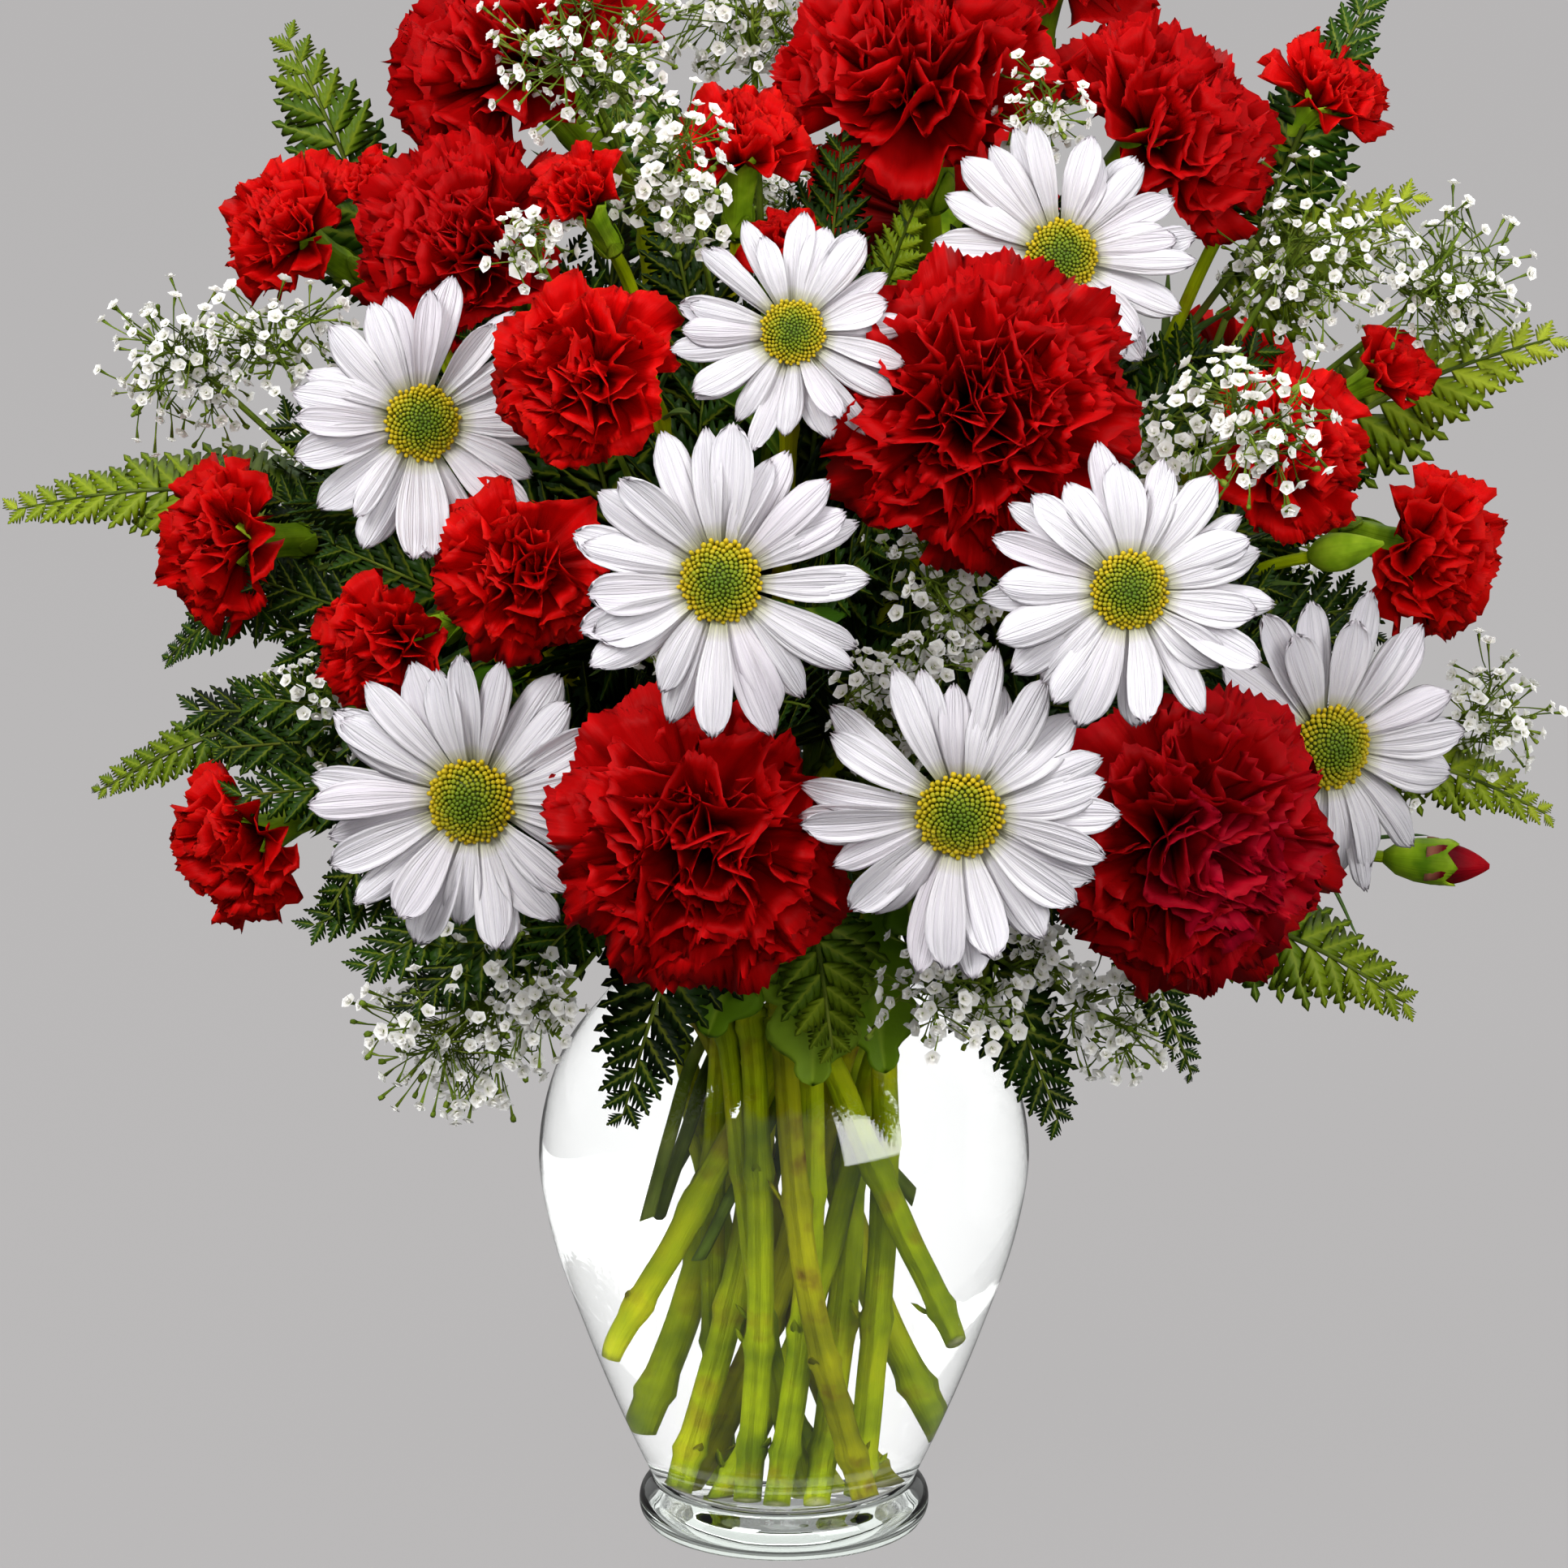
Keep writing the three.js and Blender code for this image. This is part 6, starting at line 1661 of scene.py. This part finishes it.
def vaseShell():
    # Glass turned about the axis: a flat foot with a rounded edge, the swelling side, a rounded
    # rim, and the inside down to a dished floor.
    outer = np.array(vase["outer"], float)
    inner = np.array(vase["inner"], float)[::-1]
    foot = profileThrough(outer[:4], 5)
    side = profileThrough(outer[3:], 6)[1:]
    half, tall = vaseLook["rim"]
    shoulder = vase["height"] - tall
    turn = np.linspace(0, np.pi, 7)[1:-1]
    rim = np.stack([rimMiddle + half * np.cos(turn), shoulder + tall * np.sin(turn)], axis=1)
    side[-1] = (rimMiddle + half, shoulder)
    inside = profileThrough(np.concatenate([[(rimMiddle - half, shoulder)], inner[1:]]), 6)
    profile = np.concatenate([vaseLook["under"], foot, side, rim, inside, vaseLook["floor"]])
    return turnedShell(profile, vaseLook["sides"])


def waterShell():
    # Water turned about the axis. Its side passes a little into the glass, so that no air shows
    # between them, and its top climbs where it meets the glass.
    look, level = vaseLook, vase["water"]
    smooth = profileThrough(np.array(vase["inner"], float), 6)
    wet = smooth[smooth[:, 1] < level]
    top = np.interp(level, smooth[:, 1], smooth[:, 0])
    wet = wet + (look["inWall"], 0) * (wet[:, 1:] > 12)  # not on the floor
    surface = [(top + look["inWall"], level + look["climb"]),
               *((top - back, level + rise) for back, rise in look["slope"]), (8, level)]
    profile = np.concatenate([look["waterFloor"], wet, surface])
    return turnedShell(profile, vaseLook["sides"])


putPiece("clear_vase", [vaseShell()], ["glass"], ["vase"])
putPiece("water_in_vase", [waterShell()], ["water"], ["water"])
print("vase made")


# Camera, floor and light.
studio = {
    "camera": (0.0, -1.4, 0.51), "target": (0.0, 0.0, 0.198), "lens": 127.84,
    "grey": "bbb9b9", "throughGlass": "ffffff", "lightTable": 1.28, "front": 0.15, "behind": 0.42,
    # The paper's own grey, how much of it is even light, and what that throws onto the flowers.
    "paper": "a09e9e", "even": 0.94, "thrown": 0.2,
    # The glow of the room by how far to the side it lies, which draws dark edges round the glass.
    "flanks": [(0.0, "ffffff"), (0.84, "f6f6f6"), (0.95, "707a76"), (1.0, "4a5450")],
    "lampTarget": (0, -0.03, 0.25),
    "lamps": [  # where each lies, its side in metres, its power in watts; the smallest casts no glints
        ((-1.1, -1.5, 1.7), 0.8, 49.0),
        ((1.3, -1.3, 1.0), 1.2, 25.0),
        ((0.2, 1.2, 1.6), 1.4, 12.0),
        ((0.0, -0.4, 2.0), 1.2, 12.0),
        ((0.15, -1.7, 0.75), 0.5, 7.0),
    ],
}


def lookAt(thing, target):
    thing.rotation_euler = (Vector(target) - Vector(thing.location)).to_track_quat("-Z", "Y").to_euler()


camera = bpy.data.objects.new("camera", bpy.data.cameras.new("camera"))
bpy.context.collection.objects.link(camera)
camera.location = studio["camera"]
camera.data.lens, camera.data.sensor_width, camera.data.clip_end = studio["lens"], 36.0, 40.0
lookAt(camera, studio["target"])
bpy.context.scene.camera = camera
for place, side, power in studio["lamps"]:
    lamp = bpy.data.lights.new("soft_lamp", "AREA")
    lamp.size, lamp.energy = side, power
    holder = bpy.data.objects.new("soft_lamp", lamp)
    bpy.context.collection.objects.link(holder)
    holder.location = place
    holder.visible_glossy = holder.visible_transmission = side > 0.5
    lookAt(holder, studio["lampTarget"])


def seenThroughGlass(tree, path):
    # 1 for a ray that has passed through glass or water on its way from the eye, straight or by
    # more than one reflection, as in the thick foot; a single reflection stays dark.
    through = maths(tree, "GREATER_THAN", path.outputs["Transmission Depth"], 0.5)
    clear = maths(tree, "LESS_THAN", path.outputs["Diffuse Depth"], 0.5)
    offOne = maths(tree, "ABSOLUTE", maths(tree, "SUBTRACT", path.outputs["Glossy Depth"], 1.0))
    notOnce = maths(tree, "GREATER_THAN", offOne, 0.5)
    return maths(tree, "MULTIPLY", maths(tree, "MULTIPLY", through, clear), notOnce)


def plainPaper(name):
    # Matt studio paper, evenly lit: mid grey to the eye, and white where it is seen through the
    # glass, as a vase on a light table is. It throws back less onto the flowers.
    material, tree, surface = newMaterial(name)
    path = addNode(tree, "ShaderNodeLightPath")
    grain = noiseAt(tree, addNode(tree, "ShaderNodeTexCoord").outputs["Object"], 900.0)
    setInputs(tree, surface, {"Base Color": hexToLinear(studio["paper"]), "Roughness": 0.9,
                              "Normal": bumpOf(tree, grain, 0.02)})
    bright = maths(tree, "MAXIMUM", path.outputs["Is Camera Ray"], studio["thrown"])
    even = addNode(tree, "ShaderNodeEmission", inputs={
        "Color": hexToLinear(studio["grey"]), "Strength": bright})
    soft = addNode(tree, "ShaderNodeMixShader", inputs={
        0: studio["even"], 1: surface.outputs["BSDF"], 2: even.outputs["Emission"]})
    white = addNode(tree, "ShaderNodeEmission", inputs={
        "Color": hexToLinear(studio["throughGlass"]), "Strength": studio["lightTable"]})
    showMixed(tree, seenThroughGlass(tree, path), soft.outputs["Shader"], white.outputs["Emission"])
    return material


floorMesh = bpy.data.meshes.new("paper_floor")
floorMesh.from_pydata([(-9, -9, 0), (9, -9, 0), (9, 9, 0), (-9, 9, 0)], [], [(0, 1, 2, 3)])
floorMesh.materials.append(plainPaper("matt_studio_paper"))
floor = bpy.data.objects.new("paper_floor", floorMesh)
bpy.context.collection.objects.link(floor)

world = bpy.data.worlds.new("soft_studio")
bpy.context.scene.world = world
world.use_nodes = True
sky = world.node_tree
sky.nodes.clear()
skyPath = addNode(sky, "ShaderNodeLightPath")
side = addNode(sky, "ShaderNodeSeparateXYZ", inputs={
    "Vector": addNode(sky, "ShaderNodeTexCoord").outputs["Generated"]})
flank = maths(sky, "ABSOLUTE", side.outputs["X"])
shade = colourRamp(sky, flank, studio["flanks"])
lit = mixed(sky, skyPath.outputs["Is Camera Ray"], shade, hexToLinear(studio["grey"]))
# Paper walls behind and above, and a darker room behind the camera.
room = ranged(sky, side.outputs["Y"], -0.5, 0.4, studio["front"], studio["behind"])
eye = maths(sky, "MAXIMUM", skyPath.outputs["Is Camera Ray"],
            maths(sky, "MULTIPLY", seenThroughGlass(sky, skyPath), studio["lightTable"]))
strength = maths(sky, "MAXIMUM", room, eye)
background = addNode(sky, "ShaderNodeBackground", inputs={"Color": lit, "Strength": strength})
skyOutput = addNode(sky, "ShaderNodeOutputWorld")
sky.links.new(background.outputs["Background"], skyOutput.inputs["Surface"])
bpy.context.scene.view_settings.view_transform = "Standard"
bpy.context.scene.view_settings.look = "None"
print("studio made")
